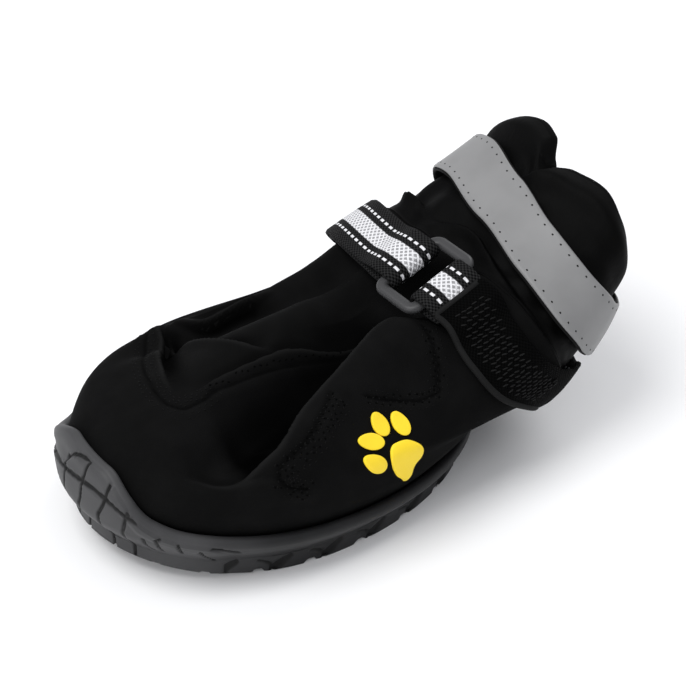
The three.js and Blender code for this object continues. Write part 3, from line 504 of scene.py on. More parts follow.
class Shader:
    """A small builder of node materials."""

    def __init__(self, name, base, rough=0.8):
        self.material = bpy.data.materials.new(name)
        self.material.use_nodes = True
        self.tree = self.material.node_tree
        self.main = self.tree.nodes["Principled BSDF"]
        self.main.inputs["Base Color"].default_value = base
        self.main.inputs["Roughness"].default_value = rough

    def node(self, kind, **values):
        n = self.tree.nodes.new(kind)
        for key, value in values.items():
            if hasattr(n, key):
                setattr(n, key, value)
            else:
                n.inputs[key.replace("_", " ")].default_value = value
        return n

    def link(self, a, b):
        self.tree.links.new(a, b)

    def put(self, name, value):
        """Sets an input of the main node to a value or to another node's output."""
        if isinstance(value, (int, float)):
            self.main.inputs[name].default_value = value
        else:
            self.link(value, self.main.inputs[name])

    def uv(self):
        """The two numbers of the uv layer."""
        split = self.node("ShaderNodeSeparateXYZ")
        self.link(self.node("ShaderNodeUVMap", uv_map="mm").outputs["UV"], split.inputs[0])
        return split.outputs[0], split.outputs[1]

    def math(self, kind, a, b=None):
        n = self.node("ShaderNodeMath", operation=kind)
        for i, v in enumerate((a, b)):
            if isinstance(v, (int, float)):
                n.inputs[i].default_value = v
            elif v is not None:
                self.link(v, n.inputs[i])
        return n.outputs[0]

    def times(self, a, b):
        return self.math("MULTIPLY", a, b)

    def rest(self, a):
        return self.math("SUBTRACT", 1.0, a)

    def wave(self, a, length):
        """Sine wave of that length."""
        return self.math("SINE", self.times(a, 2 * math.pi / length))

    def ramp(self, value, low, high):
        n = self.node("ShaderNodeMapRange", clamp=True, interpolation_type="SMOOTHSTEP")
        self.link(value, n.inputs["Value"])
        n.inputs["From Min"].default_value = low
        n.inputs["From Max"].default_value = high
        return n.outputs["Result"]

    def mix(self, factor, a, b):
        n = self.node("ShaderNodeMix", data_type="RGBA")
        self.link(factor, n.inputs["Factor"])
        for socket, v in ((n.inputs["A"], a), (n.inputs["B"], b)):
            if isinstance(v, tuple):
                socket.default_value = v
            else:
                self.link(v, socket)
        return n.outputs["Result"]

    def noise(self, scale, detail=3.0):
        n = self.node("ShaderNodeTexNoise", Scale=scale, Detail=detail)
        self.link(self.node("ShaderNodeTexCoord").outputs["Object"], n.inputs["Vector"])
        return n.outputs["Fac"]

    def cloud(self, scale, detail, low, high, dark, light):
        """Two tones that pass softly into each other."""
        return self.mix(self.ramp(self.noise(scale, detail), low, high), dark, light)

    def bump(self, height, strength, distance_mm, under=None):
        n = self.node("ShaderNodeBump", Strength=strength)
        n.inputs["Distance"].default_value = distance_mm * MM
        self.link(height, n.inputs["Height"])
        if under is not None:
            self.link(under, n.inputs["Normal"])
        self.link(n.outputs["Normal"], self.main.inputs["Normal"])
        return n.outputs["Normal"]


def softshell():
    s = Shader("softshell", srgb(13), 0.85)
    # Painted shade: the uv's first number darkens the fabric to near black and takes away its sheen in the
    # hollows below fold edges and along seams
    shade, light = s.uv()
    fold_shade = s.times(shade, 0.92)
    tone = s.mix(fold_shade, s.cloud(140, 4, 0.3, 0.75, srgb(10), srgb(14)), srgb(1))
    # Painted highlight: the uv's second number lightens the fabric along the crests of fold edges
    s.put("Base Color", s.mix(s.times(light, 0.55), tone, srgb(30)))
    s.put("Specular IOR Level", s.times(s.rest(fold_shade), 0.045))
    soft = s.bump(s.noise(2600, 2), 0.35, 0.08)
    s.bump(s.noise(420, 3), 0.25, 0.15, soft)
    return s.material


def rubber():
    """Painted shade darkens the side wall and painted light brightens the toe cap, and painted shade makes
    the grooves near black.
    """
    s = Shader("sole_rubber", srgb(40, 40, 41), 0.5)
    gap, toe = s.uv()
    cloud = s.ramp(s.noise(90, 4), 0.3, 0.7)
    # Painted shade on the side wall and painted light on the toe cap, blended by the uv's second number
    side = s.mix(cloud, srgb(25, 25, 26), srgb(33, 33, 34))
    cap = s.mix(cloud, srgb(57, 57, 58), srgb(65, 65, 66))
    # Painted shade in the grooves and strokes, from the uv's first number, the distance to the nearest
    # groove
    groove = s.times(s.rest(s.ramp(gap, 0.24, 0.48)), 0.92)
    s.put("Base Color", s.mix(groove, s.mix(toe, side, cap), srgb(4)))
    s.put("Specular IOR Level", 0.22)
    s.bump(s.noise(1800, 3), 0.2, 0.08)
    return s.material


def weave(name, ground, yarn, stripe):
    """Narrow webbing with ribs across, and where asked the reflective middle stripe and dashes."""
    s = Shader(name, ground, 0.75)
    u, v = s.uv()
    cross = s.times(s.wave(u, 1.1), s.wave(v, 0.95))
    tone = s.mix(s.ramp(cross, -0.7, 0.7), ground, yarn)
    if stripe:
        off = s.math("ABSOLUTE", s.math("SUBTRACT", v, WEB_WIDTH / 2))
        slant = s.math("MAXIMUM", s.wave(s.math("ADD", u, v), 1.5), s.wave(s.math("SUBTRACT", u, v), 1.5))
        white = s.mix(s.ramp(slant, 0.1, 0.75), srgb(150, 150, 152), srgb(228, 228, 230))
        tone = s.mix(s.rest(s.ramp(off, 2.1, 2.35)), tone, white)
        row = s.rest(s.ramp(s.math("ABSOLUTE", s.math("SUBTRACT", off, 4.15)), 0.28, 0.42))
        dash = s.ramp(s.wave(u, 2.1), -0.45, -0.1)
        tone = s.mix(s.times(row, dash), tone, srgb(226, 226, 228))
    s.put("Base Color", tone)
    s.put("Specular IOR Level", 0.06 if stripe else 0.03)
    s.bump(cross, 0.5, 0.22)
    return s.material


def plain(name, color, rough, specular, grain=None):
    """One colour, with a grain of scale, detail, strength and depth where given."""
    s = Shader(name, color, rough)
    s.put("Specular IOR Level", specular)
    if grain:
        scale, detail, strength, distance = grain
        s.bump(s.noise(scale, detail), strength, distance)
    return s.material


def reflective():
    s = Shader("reflective_tape", srgb(130), 0.45)
    s.put("Base Color", s.cloud(70, 3, 0.3, 0.7, srgb(126), srgb(134)))
    s.put("Specular IOR Level", 0.3)
    s.bump(s.noise(5200, 2), 0.25, 0.05)
    return s.material


SOFTSHELL = softshell()
LINING = plain("collar_lining", srgb(7), 0.8, 0.04, (1500, 3, 0.3, 0.12))
CUFF = plain("shiny_cuff", srgb(4), 0.6, 0.05, (700, 4, 0.35, 0.25))
RUBBER = rubber()
STRAP_WEAVE = weave("strap_webbing", srgb(4, 4, 5), srgb(40), True)
PATCH_WEAVE = weave("patch_fabric", srgb(1), srgb(5), False)
THREAD = plain("sewing_thread", srgb(13), 0.7, 0.08)
DARK_THREAD = plain("dark_thread", srgb(4), 0.8, 0.03)
PATCH_THREAD = plain("patch_thread", srgb(17), 0.7, 0.15)
PIPING = plain("piping", srgb(22), 0.75, 0.1, (1500, 3, 0.3, 0.1))
RING_PLASTIC = plain("ring_plastic", srgb(60, 60, 61), 0.42, 0.3, (1500, 3, 0.15, 0.05))
TAPE = reflective()
BACKING = plain("tape_backing", srgb(7), 0.75, 0.15, (2200, 3, 0.3, 0.08))
PRINT = plain("yellow_print", srgb(255, 221, 44), 0.5, 0.35, (3000, 3, 0.25, 0.06))
INSOLE_CLOTH = plain("insole_cloth", srgb(26), 0.9, 0.15, (1600, 3, 0.4, 0.15))
HOLE = plain("needle_hole", srgb(14), 0.8, 0.1)


def finish_piece(thing, materials, stands_for=()):
    for m in materials:
        thing.data.materials.append(m)
    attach(thing, "root")
    if stands_for:
        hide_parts(*stands_for)
    return thing


# Upper in two sewn parts, the softshell below and the thin cuff with the padded collar above
AROUND = 420
turn_t = np.arange(AROUND) / AROUND * 360
UPPER_ANGLES = wrap(turn_t - np.degrees(0.52) * np.sin(np.radians(turn_t)))
SEAM_KEY = 0.777


def upper_part(name, shares, inner_step):
    angle = UPPER_ANGLES[:, None]
    top = collar_key(wrap(angle))
    key = np.where(shares <= 0.8, shares, 0.8 + (shares - 0.8) / 0.2 * (top - 0.8)) + 0 * angle
    outer, out, shade = upper_form(angle, key)
    wall = UPPER_WALL + (COLLAR_WALL - UPPER_WALL) * step(0.78, 0.95, key)
    inner = outer - out * wall[..., None]
    middle = (outer[:, -1] + inner[:, -1]) / 2
    arm = (outer[:, -1] - inner[:, -1]) / 2
    rise = unit(outer[:, -1] - outer[:, -3]) * np.linalg.norm(arm, axis=1, keepdims=True)
    roll = [middle + arm * math.cos(t) + rise * math.sin(t) for t in np.linspace(0, math.pi, 9)[1:-1]]
    inside = inner[:, ::-1][:, ::inner_step]
    grid = np.concatenate([outer, np.stack(roll, 1), inside], 1)
    rows, cols = grid.shape[:2]
    column = np.tile(np.arange(cols), rows)
    # The uv layer carries the painted shade and painted highlight of fold edges and seams on the outer skin
    shade_and_light = np.zeros((rows, cols, 2))
    shade_and_light[:, :shade.shape[1]] = shade
    return loop_grid(name, grid, True, shade_and_light, column >= outer.shape[1] - 2)


def tree_of(thing):
    mesh = thing.data
    co = np.zeros(len(mesh.vertices) * 3, np.float32)
    mesh.vertices.foreach_get("co", co)
    verts = [tuple(v) for v in co.reshape(-1, 3) / MM]
    faces = [tuple(p.vertices) for p in mesh.polygons]
    return BVHTree.FromPolygons(verts, faces)


low_shares = np.concatenate([
    np.linspace(0, 0.2, 15)[:-1], np.linspace(0.2, 0.7, 142)[:-1], np.linspace(0.7, SEAM_KEY, 18)])
high_shares = np.concatenate([np.linspace(SEAM_KEY - 0.004, 0.8, 12)[:-1], np.linspace(0.8, 1, 100)])
upper = upper_part("upper_shell", low_shares, 4)
finish_piece(upper, [SOFTSHELL, SOFTSHELL], ["upper"])
cuff_part = upper_part("upper_cuff", high_shares, 3)
finish_piece(cuff_part, [CUFF, LINING], ["upper"])
upper_tree = tree_of(upper)


def settle(points, outs):
    """Moves points onto the skin of the upper."""
    placed, normals = [], []
    for p, o in zip(points, outs):
        hit, normal, _, _ = upper_tree.ray_cast(Vector(p + o * 12), Vector(-o), 30)
        if hit is None:
            hit, normal, _, _ = upper_tree.find_nearest(Vector(p))
        if normal.dot(Vector(o)) < 0:
            normal = -normal
        placed.append(hit)
        normals.append(normal)
    return np.array(placed, float), np.array(normals, float)


def seam_stitches(name, rows, offsets, pitch, length, material, size, seed):
    """Rows of short stitches beside a sewn line, a little uneven as by hand."""
    rng = np.random.default_rng(seed)
    line = line_points(rows, pitch)
    place = envelope(line[:, 0], line[:, 1])
    _, _, out = frame_of(line[:, 0], line[:, 1])
    along = unit(np.gradient(place, axis=0))
    side = unit(np.cross(out, along))
    centres, alongs, outs = [], [], []
    for k, offset in enumerate(offsets):
        shift = pitch * 0.5 * (k % 2)
        jitter = rng.normal(0, 0.26, (len(place), 1))
        centres.append(place + side * (offset + jitter) + along * (shift + jitter))
        alongs.append(unit(along + side * rng.normal(0, 0.6, (len(place), 1))))
        outs.append(out)
    settled, normals = settle(np.concatenate(centres), np.concatenate(outs))
    alongs = np.concatenate(alongs)
    alongs = unit(alongs - normals * np.einsum("ij,ij->i", alongs, normals)[:, None])
    lengths = length * rng.uniform(0.75, 1.15, len(settled))
    thing = capsules(name, settled + normals * 0.02, alongs, normals, lengths, size, size * 0.75)
    return finish_piece(thing, [material])


STITCHES = [
    ("gusset_stitches", "gusset", (-2.2, -1.3, 0.9, 1.8, 2.6), 1.5, 0.6, THREAD, 0.3, 1),
    ("tongue_stitches", "tongue", (1.4,), 1.6, 0.7, DARK_THREAD, 0.35, 2),
    ("flank_stitches", "flank", (-2.4, -1.5, -0.6, 0.4, 1.3, 2.2), 1.4, 0.6, THREAD, 0.3, 3),
    ("flank_needle_marks", "flank", (-2.0, -0.9, 0.2, 1.2), 1.7, 0.6, DARK_THREAD, 0.42, 5),
    ("heel_patch_stitches", "heel_patch", (-1.8, -0.9, 0.1, 1.0, 1.9), 1.5, 0.6, THREAD, 0.3, 4),
    ("heel_patch_needle_marks", "heel_patch", (-1.3, 0.5), 1.8, 0.6, DARK_THREAD, 0.42, 6),
]
for stitch_name, seam, *values in STITCHES:
    seam_stitches(stitch_name, SEAMS[seam], *values)


# Outsole as one skin: inside of the rim, rolled lip, side wall, lugs and tread
def lug_mask(angle, height, base=False):
    """How far a point of the side wall belongs to an edge lug, from 0 to 1."""
    total = np.zeros(np.broadcast(angle, height).shape)
    for i in range(24):
        start = i * 15 - 180 + 1.6
        toe = abs(start + 4) < 36
        climb = 3.4 if toe else (5.4 if i % 2 == 0 else 4.4)
        lean = 0 if toe else 2
        centre = start + 6
        away = np.abs(wrap(angle - centre - lean * np.minimum(height / climb, 1)))
        inside = 1 - step(5.4, 6.4, away)
        if not base:
            inside = inside * (1 - step(climb - 0.3, climb + 0.6, height))
        total = np.maximum(total, inside)
    return total


# Grooves of the toe cap as angle and key, the same on both sides of its middle
CAP_MIDDLE = 8.5
CAP_LINES = [
    [(-3, 0.221), (-0.5, 0.23), (3.5, 0.238), (8.5, 0.241)],
    [(-3, 0.221), (-5, 0.198), (-5.5, 0.177)],
    [(-16, 0.15), (-12.5, 0.158), (-5.5, 0.175), (0, 0.186), (3.5, 0.192), (8.5, 0.195)],
    [(-5.5, 0.205), (-4.5, 0.17), (-5, 0.078), (-6, -0.03)],
    [(3.5, 0.238), (3.5, 0.193), (4.5, 0.111), (2, -0.036)],
    [(-17.5, 0.146), (-15, 0.112), (-17, 0.04)],
    [(-11.5, 0.085), (-13.5, 0.021)],
    [(-21, 0.12), (-23, 0.06)],
    [(-28, 0.08), (-31, 0.01)],
    [(-17.5, 0.146), (-24, 0.125), (-31, 0.1), (-38, 0.075)],
]
STROKE_PITCH = 12
NO_GROOVE = 9.0
SOLE_MIDDLE = -2


def groove_gap(points, angle, along, height):
    """Distance in millimetres from each point of the side wall to the nearest groove."""
    flat = points.reshape(-1, 3)
    gap = np.full(len(flat), NO_GROOVE)
    for rows in CAP_LINES:
        for sign in (1, -1):
            line = np.array([(CAP_MIDDLE + sign * (a - CAP_MIDDLE), k) for a, k in rows], float)
            at = np.linspace(0, 1, len(line))
            fine = np.stack([np.interp(np.linspace(0, 1, 120), at, line[:, c]) for c in (0, 1)], 1)
            place = envelope(fine[:, 0], fine[:, 1])
            near = np.all((flat > place.min(0) - 2) & (flat < place.max(0) + 2), axis=1)
            if near.any():
                distance, _ = nearest_on(flat[near], place)
                gap[near] = np.minimum(gap[near], distance)
    gap = gap.reshape(points.shape[:-1])
    # A slanting stroke with a fainter one before it, repeated along both sides
    local = np.mod(along, STROKE_PITCH)
    for (x0, z0), (x1, z1), faint in (((5.5, 2.6), (9.4, 4.4), 0), ((2.3, 4.4), (5.0, 3.4), 0.16)):
        length = math.hypot(x1 - x0, z1 - z0)
        share = np.clip(((local - x0) * (x1 - x0) + (height - z0) * (z1 - z0)) / length ** 2, 0, 1)
        away = np.hypot(local - x0 - share * (x1 - x0), height - z0 - share * (z1 - z0))
        away = away - 0.42 + faint * 3
        gap = np.where(np.abs(angle - CAP_MIDDLE) > 42, np.minimum(gap, np.maximum(away, 0)), gap)
    return gap


def cap_top(angle):
    """Key of the upper edge of the toe cap blocks."""
    return curve([0, 11.5, 14, 25, 36, 46, 60, 190], [0.246, 0.228, 0.196, 0.155, 0.12, 0.06, 0.02, 0.0],
                 np.abs(angle - CAP_MIDDLE))


def drawn_in(edge, share):
    """An edge drawn in towards the middle of the sole."""
    p = edge.copy()
    p[..., 0] = SOLE_MIDDLE + (p[..., 0] - SOLE_MIDDLE) * share
    p[..., 1] = p[..., 1] * share
    return p


def build_outsole():
    count = 640
    t = np.arange(count) / count * 360
    angles = wrap(t - np.degrees(0.5) * np.sin(np.radians(t)))[:, None]
    top = rim_key(angles)
    radius = (RIM_WALL + 0.3 + RIM_GAP - RIM_SEAT) / 2
    rate = np.linalg.norm(envelope(angles, top) - envelope(angles, top - 0.01), axis=-1) / 0.01
    lip_key = top - radius / rate
    # Side wall from the bottom up to the lip
    share = np.linspace(0, 1, 58)[None, :]
    key = RIM_BOTTOM + (lip_key - RIM_BOTTOM) * share
    safe = np.maximum(key, 0.001)
    _, _, out = frame_of(angles, safe)
    wall = envelope(angles, key)
    ground = spring(wall[..., 0])
    height = wall[..., 2] - ground
    below = 0.35 * step(1.0, 3.2, (lip_key - key) * rate)
    push = RIM_GAP + RIM_WALL + 0.3 - below
    lugs = lug_mask(angles, height)
    cap = 1 - step(38, 46, np.abs(angles - CAP_MIDDLE))
    run = np.linalg.norm(wall[:, 0] - np.roll(wall[:, 0], 1, 0), axis=1)
    run = np.cumsum(run)[:, None]
    along = np.where(angles >= 0, run - run[0], run[-1] - run + run[0])
    gap = groove_gap(wall, angles, along, height)
    block = 1 - step(-0.01, 0.0, key - cap_top(angles))
    push = push + 0.15 * lugs * (1 - cap) + 0.6 * cap * block - 0.55 * (1 - step(0.2, 0.42, gap))
    side = wall + out * push[..., None]
    foot = lug_mask(angles, np.zeros_like(angles), True)
    drop = height[:, :1] * foot
    side[..., 2] -= drop * (1 - step(0, 2.2, height - height[:, :1]))
    side[..., 2] = np.maximum(side[..., 2], spring(side[..., 0]))
    # Rolled lip
    _, along, lip_out = frame_of(angles, lip_key)
    centre = envelope(angles, lip_key) + lip_out * (RIM_SEAT + radius)
    lip = []
    for phi in np.linspace(0, math.pi, 14)[1:]:
        lip.append(centre + lip_out * radius * math.cos(phi) + along * radius * math.sin(phi))
    lip = np.concatenate(lip, 1)
    # Inside face down to the floor
    inner_key = lip_key + (0.0 - lip_key) * np.linspace(0, 1, 9)[None, 1:]
    _, _, inner_out = frame_of(angles, np.maximum(inner_key, 0.001))
    inside = envelope(angles, inner_key) + inner_out * RIM_SEAT
    floor = []
    for s in np.linspace(1, 0.02, 14):
        p = drawn_in(inside[:, -1:], s)
        p[..., 2] = SOLE_FLOOR + spring(p[..., 0])
        floor.append(p)
    floor = np.concatenate(floor, 1)
    # Underside with the tread
    under = []
    for s in np.concatenate([np.linspace(0.995, 0.8, 14), np.linspace(0.785, 0.02, 46)]):
        p = drawn_in(side[:, :1], s)
        lug = foot * step(0.79, 0.81, np.full_like(foot, s))
        pad = pad_mask(p[..., 0], p[..., 1])
        p[..., 2] = spring(p[..., 0]) + LUG_DEPTH * (1 - np.maximum(lug, pad))
        under.append(p)
    under = np.concatenate(under, 1)
    grid = np.concatenate([under[:, ::-1], side, lip, inside, floor], 1)
    # The uv layer carries the groove distance, which paints shade into the grooves, and the toe share,
    # which paints light on the toe cap and shade round the side
    distance = np.full(grid.shape[:2], NO_GROOVE)
    distance[:, under.shape[1]:under.shape[1] + gap.shape[1]] = gap
    toe = np.broadcast_to(1 - step(30, 62, np.abs(angles - CAP_MIDDLE)), distance.shape)
    return loop_grid("outsole_tread", grid, True, np.stack([distance, toe], -1))


PAD_ROWS = [
    (30, [-8, 8], 4.2, 6, 1.5), (20, [-15, 0, 15], 3.6, 5.6, 0),
    (10, [-20, -6.8, 6.8, 20], 3.6, 5.2, 1.2), (0, [-19, 0, 19], 4, 6.4, 0),
    (-11, [-20, -6.8, 6.8, 20], 4, 5.2, 1.2), (-21.5, [-15, 0, 15], 3.8, 5.6, 0),
    (-31.5, [-8, 8], 3.8, 6, 1.5),
]


def pad_mask(x, y):
    total = np.zeros(x.shape)
    for px, ys, half_x, half_y, skew in PAD_ROWS:
        for py in ys:
            dy = (y - py) / half_y
            dx = (x - px - np.sign(py) * skew * dy) / half_x
            inside = (1 - step(0.88, 1.04, np.abs(dx))) * (1 - step(0.9, 1.03, np.abs(dy)))
            groove = step(0.05, 0.13, np.abs(dx)) if py == 0 else 1
            total = np.maximum(total, inside * groove)
    return total


outsole = build_outsole()
finish_piece(outsole, [RUBBER], ["outsole"])


# Insole with a soft quilt
def build_insole():
    angles = np.linspace(-180, 180, 145)[:-1][:, None]
    _, _, out = frame_of(angles, np.full_like(angles, 0.001))
    out[..., 2] = 0
    edge = envelope(angles, np.zeros_like(angles)) - unit(out) * (UPPER_WALL + 0.7)
    top, low = [], []
    base = SOLE_FLOOR + GAP + 0.2
    for s in np.linspace(1, 0.02, 34):
        p = drawn_in(edge, s)
        q = p.copy()
        quilt = 0.25 * np.cos(p[..., 0] * 0.55) * np.cos(p[..., 1] * 0.55)
        rim = 0.5 * step(0.93, 1.0, np.full(p.shape[:-1], s))
        p[..., 2] = base + INSOLE_THICK - 0.25 + quilt - rim + spring(p[..., 0])
        q[..., 2] = base + spring(q[..., 0])
        top.append(p)
        low.append(q)
    return loop_grid("insole_pad", np.concatenate(top[::-1] + low, 1), True)


finish_piece(build_insole(), [INSOLE_CLOTH], ["insole"])


# Points along bands that lie on the form
def across_key(angle, start, distance):
    key = np.array(start, float)
    for _ in range(6):
        here = envelope(angle, key)
        rate = np.linalg.norm(envelope(angle, key + 0.004) - here, axis=-1) / 0.004
        half = key + distance / 6 / rate * 0.5
        mid = np.linalg.norm(envelope(angle, half + 0.002) - envelope(angle, half - 0.002), axis=-1) / 0.004
        key = key + distance / 6 / mid
    return key


def on_band(edge, angle, across, lift):
    angle, across, lift = np.broadcast_arrays(*(np.asarray(v, float) for v in (angle, across, lift)))
    a = wrap(angle)
    key = across_key(a, edge(angle), across)
    _, _, out = frame_of(a, key)
    return envelope(a, key) + out * lift[..., None]


WEB_ANGLES = np.arange(-262, 179, 2.0)
web_middle = on_band(web_key, WEB_ANGLES, WEB_WIDTH / 2, 1)
WEB_RUN = run_along(web_middle)
WEB_RUN = WEB_RUN - curve(WEB_ANGLES, WEB_RUN, np.array(float(RING_ANGLE)))

ring_spot = on_band(web_key, RING_ANGLE, WEB_WIDTH / 2, 0.35)
ring_ahead, ring_behind = (on_band(web_key, RING_ANGLE + turn, WEB_WIDTH / 2, 0) for turn in (6, -6))
ring_along = unit(ring_ahead - ring_behind)
ring_rise = on_band(web_key, RING_ANGLE, WEB_WIDTH, 0) - on_band(web_key, RING_ANGLE, 0, 0)
ring_out = unit(np.cross(ring_along, ring_rise))
ring_across = np.cross(ring_out, ring_along)


def flat_point(length, across, lift):
    length, across, lift = (np.asarray(v, float)[..., None] for v in (length, across, lift))
    return ring_spot + ring_along * length + ring_across * (across - WEB_WIDTH / 2) + ring_out * lift


def web_point(length, across, lift):
    length, across, lift = np.broadcast_arrays(*(np.asarray(v, float) for v in (length, across, lift)))
    angle = curve(WEB_RUN, WEB_ANGLES, length)
    slack = 1.3 * step(95, 130, np.abs(wrap(angle)))
    curved = on_band(web_key, angle, across, lift + slack)
    flat = (1 - step(8.5, 16, np.abs(length)))[..., None]
    return curved * (1 - flat) + flat_point(length, across, lift) * flat


def ramp_rows(rows, spacing):
    result = [rows[0]]
    for (l0, o0), (l1, o1) in zip(rows[:-1], rows[1:]):
        count = max(1, round(abs(l1 - l0) / spacing))
        for k in range(1, count + 1):
            t = k / count
            result.append((l0 + (l1 - l0) * t, o0 + (o1 - o0) * t * t * (3 - 2 * t)))
    return result


BAR_LIFT = GAP * 2 + 0.1 + WEB_THICK + RING_THICK / 2
TURN_RADIUS = RING_THICK / 2 + GAP + WEB_THICK / 2
BAR_AT = (RING_SHORT - RING_BAR) / 2
UNDER = GAP + 0.1 + WEB_THICK / 2
OVER = UNDER + GAP + WEB_THICK
TOP = BAR_LIFT + TURN_RADIUS


def turn_rows(bar, side):
    core = bar + side * (RING_BAR / 2 - RING_THICK / 2)
    angles = np.radians(np.linspace(-90, 90, 19))
    return [(core + side * TURN_RADIUS * math.cos(a), BAR_LIFT + TURN_RADIUS * math.sin(a)) for a in angles]


def strip(name, rows, thick, width, columns=17, wave=0.0):
    """Woven strip with rounded edges that follows rows of length and lift."""
    rows = np.array(rows, float)
    across = np.linspace(0, width, columns)[None, :]
    mid = web_point(rows[:, :1], across, rows[:, 1:2])
    down = unit(np.gradient(mid, axis=0))
    over = unit(np.gradient(mid, axis=1))
    out = unit(np.cross(down, over))
    run = run_along(mid[:, columns // 2])
    if wave:
        mid = mid + out * (wave * noise(mid, 12, 4))[..., None]
    edge = np.minimum(across, width - across)
    thin = np.sqrt(np.clip(edge / 0.6, 0.16, 1)) * thick / 2
    top = mid + out * thin[..., None]
    low = mid - out * thin[..., None]
    grid = np.concatenate([top, low[:, ::-1]], 1)
    u = np.broadcast_to(run[:, None], mid.shape[:2])
    v = np.broadcast_to(across, mid.shape[:2])
    uv = np.stack([np.concatenate([u, u[:, ::-1]], 1), np.concatenate([v, v[:, ::-1]], 1)], -1)
    return loop_grid(name, grid, False, uv)


patch_end_angle = curve(WEB_RUN, WEB_ANGLES, np.array(float(PATCH_END)))
tail_end = float(curve(WEB_ANGLES, WEB_RUN, patch_end_angle - 360)) + TAIL_GAP
long_rows = (ramp_rows([(-WEB_TUCK, UNDER), (-BAR_AT - 1, UNDER)], 0.9)
             + turn_rows(-BAR_AT, 1)
             + ramp_rows([
                 (-BAR_AT - 1.5, TOP), (-BAR_AT - 3.5, TOP), (-18, OVER), (-WEB_TUCK - 2, OVER),
                 (-WEB_TUCK - 10, UNDER), (tail_end + TAIL_RUN, UNDER), (tail_end, UNDER + TAIL_LIFT),
                 (tail_end - 7, UNDER + 0.6)], 0.8))
short_rows = (ramp_rows([(PATCH_START - 1.2, UNDER), (BAR_AT + 1, UNDER)], 0.8)
              + turn_rows(BAR_AT, -1)
              + ramp_rows([(BAR_AT + 1.5, TOP), (BAR_AT + 2.5, TOP), (SHORT_END - 2.5, OVER - 0.2)], 0.8))
long_strap = strip("long_strap", long_rows, WEB_THICK, WEB_WIDTH, 21)
finish_piece(long_strap, [STRAP_WEAVE], ["long_webbing"])
short_strap = strip("short_strap", short_rows, WEB_THICK, WEB_WIDTH, 21)
finish_piece(short_strap, [STRAP_WEAVE], ["short_webbing"])

# Anchor patch: its thick front edge covers the end of the short strap, and it is piped along its lower edge
PATCH_FRONT = 11.4
PATCH_BACK = PATCH_END - 5.5
patch_rows = ramp_rows([
    (PATCH_FRONT, OVER + 1.1), (PATCH_FRONT + 4, OVER + 0.9), (PATCH_FRONT + 9, UNDER + 0.2),
    (PATCH_BACK, UNDER)], 0.7)
patch = strip("anchor_cover", patch_rows, WEB_THICK, WEB_WIDTH, 31, 0.16)
finish_piece(patch, [PATCH_WEAVE], ["anchor_patch"])
patch_table = np.array(patch_rows, float)


def patch_lift(length):
    return curve(patch_table[:, 0], patch_table[:, 1], length)


def patch_frame(length, across, above):
    """Point above the patch with its directions along, over and out."""
    lift = patch_lift(length) + above
    here = web_point(length, across, lift)
    along = unit(web_point(length + 0.4, across, patch_lift(length + 0.4) + above) - here)
    over = unit(web_point(length, across + 0.4, lift) - here)
    return here, along, over, unit(np.cross(along, over))


def piping():
    """Round cord sewn into the lower and front edges of the patch."""
    length = np.concatenate([np.full(12, PATCH_FRONT + 0.2), np.arange(PATCH_FRONT + 0.8, PATCH_BACK, 0.8)])
    across = np.concatenate([np.linspace(WEB_WIDTH - 2, 0.7, 12), np.full(len(length) - 12, 0.1)])
    here, _, _, out = patch_frame(length, across, 0.25)
    here[:, :] += out * (0.1 * noise(here, 9, 8))[:, None]
    run = unit(np.gradient(here, axis=0))
    side = unit(np.cross(run, out))
    t = np.linspace(0, 2 * math.pi, 15)[:-1]
    ring = (side[:, None] * np.cos(t)[None, :, None] + out[:, None] * np.sin(t)[None, :, None]) * 0.78
    return loop_grid("patch_piping", here[:, None] + ring, False)


finish_piece(piping(), [PIPING], ["anchor_patch"])


def patch_stitching():
    """Dense bar of stitches across the patch."""
    rng = np.random.default_rng(12)
    length, across = [], []
    for k, row in enumerate(np.arange(PATCH_FRONT + 3.2, PATCH_FRONT + 34, 1.15)):
        for start in np.arange(3.4 + 0.9 * (k % 2), 11.4, 1.75):
            length.append(row + rng.normal(0, 0.1))
            across.append(start + rng.normal(0, 0.15))
    here, along, over, out = patch_frame(np.array(length), np.array(across), WEB_THICK / 2 + 0.02)
    lean = unit(over + along * rng.normal(0.25, 0.12, (len(over), 1)))
    return capsules("patch_stitching", here, lean, out, 1.55, 0.42, 0.4)


finish_piece(patch_stitching(), [PATCH_THREAD], ["anchor_patch"])


# Ring with rounded bars
def build_ring():
    half_l = (RING_SHORT - RING_BAR) / 2
    half_w = (RING_LONG - RING_BAR) / 2
    corner = 1.9
    path = []
    for sl, sw, start in ((1, 1, 0), (-1, 1, 90), (-1, -1, 180), (1, -1, 270)):
        for a in np.radians(np.linspace(start, start + 90, 10)):
            path.append((sl * (half_l - corner) + corner * math.cos(a),
                         sw * (half_w - corner) + corner * math.sin(a), math.cos(a), math.sin(a)))
    core = (RING_BAR - RING_THICK) / 2
    profile = []
    for side in (1, -1):
        for a in np.radians(np.linspace(-90, 90, 11)):
            r = RING_THICK / 2
            profile.append((side * (core + r * math.cos(a)), side * r * math.sin(a)))
    path = np.array(path)[:, None, :]
    profile = np.array(profile)[None, :, :]
    length = path[..., 0] + path[..., 2] * profile[..., 0]
    across = WEB_WIDTH / 2 + path[..., 1] + path[..., 3] * profile[..., 0]
    lift = np.broadcast_to(BAR_LIFT + profile[..., 1], length.shape)
    return loop_grid("ring_frame", flat_point(length, across, lift), True)


finish_piece(build_ring(), [RING_PLASTIC], ["ring"])


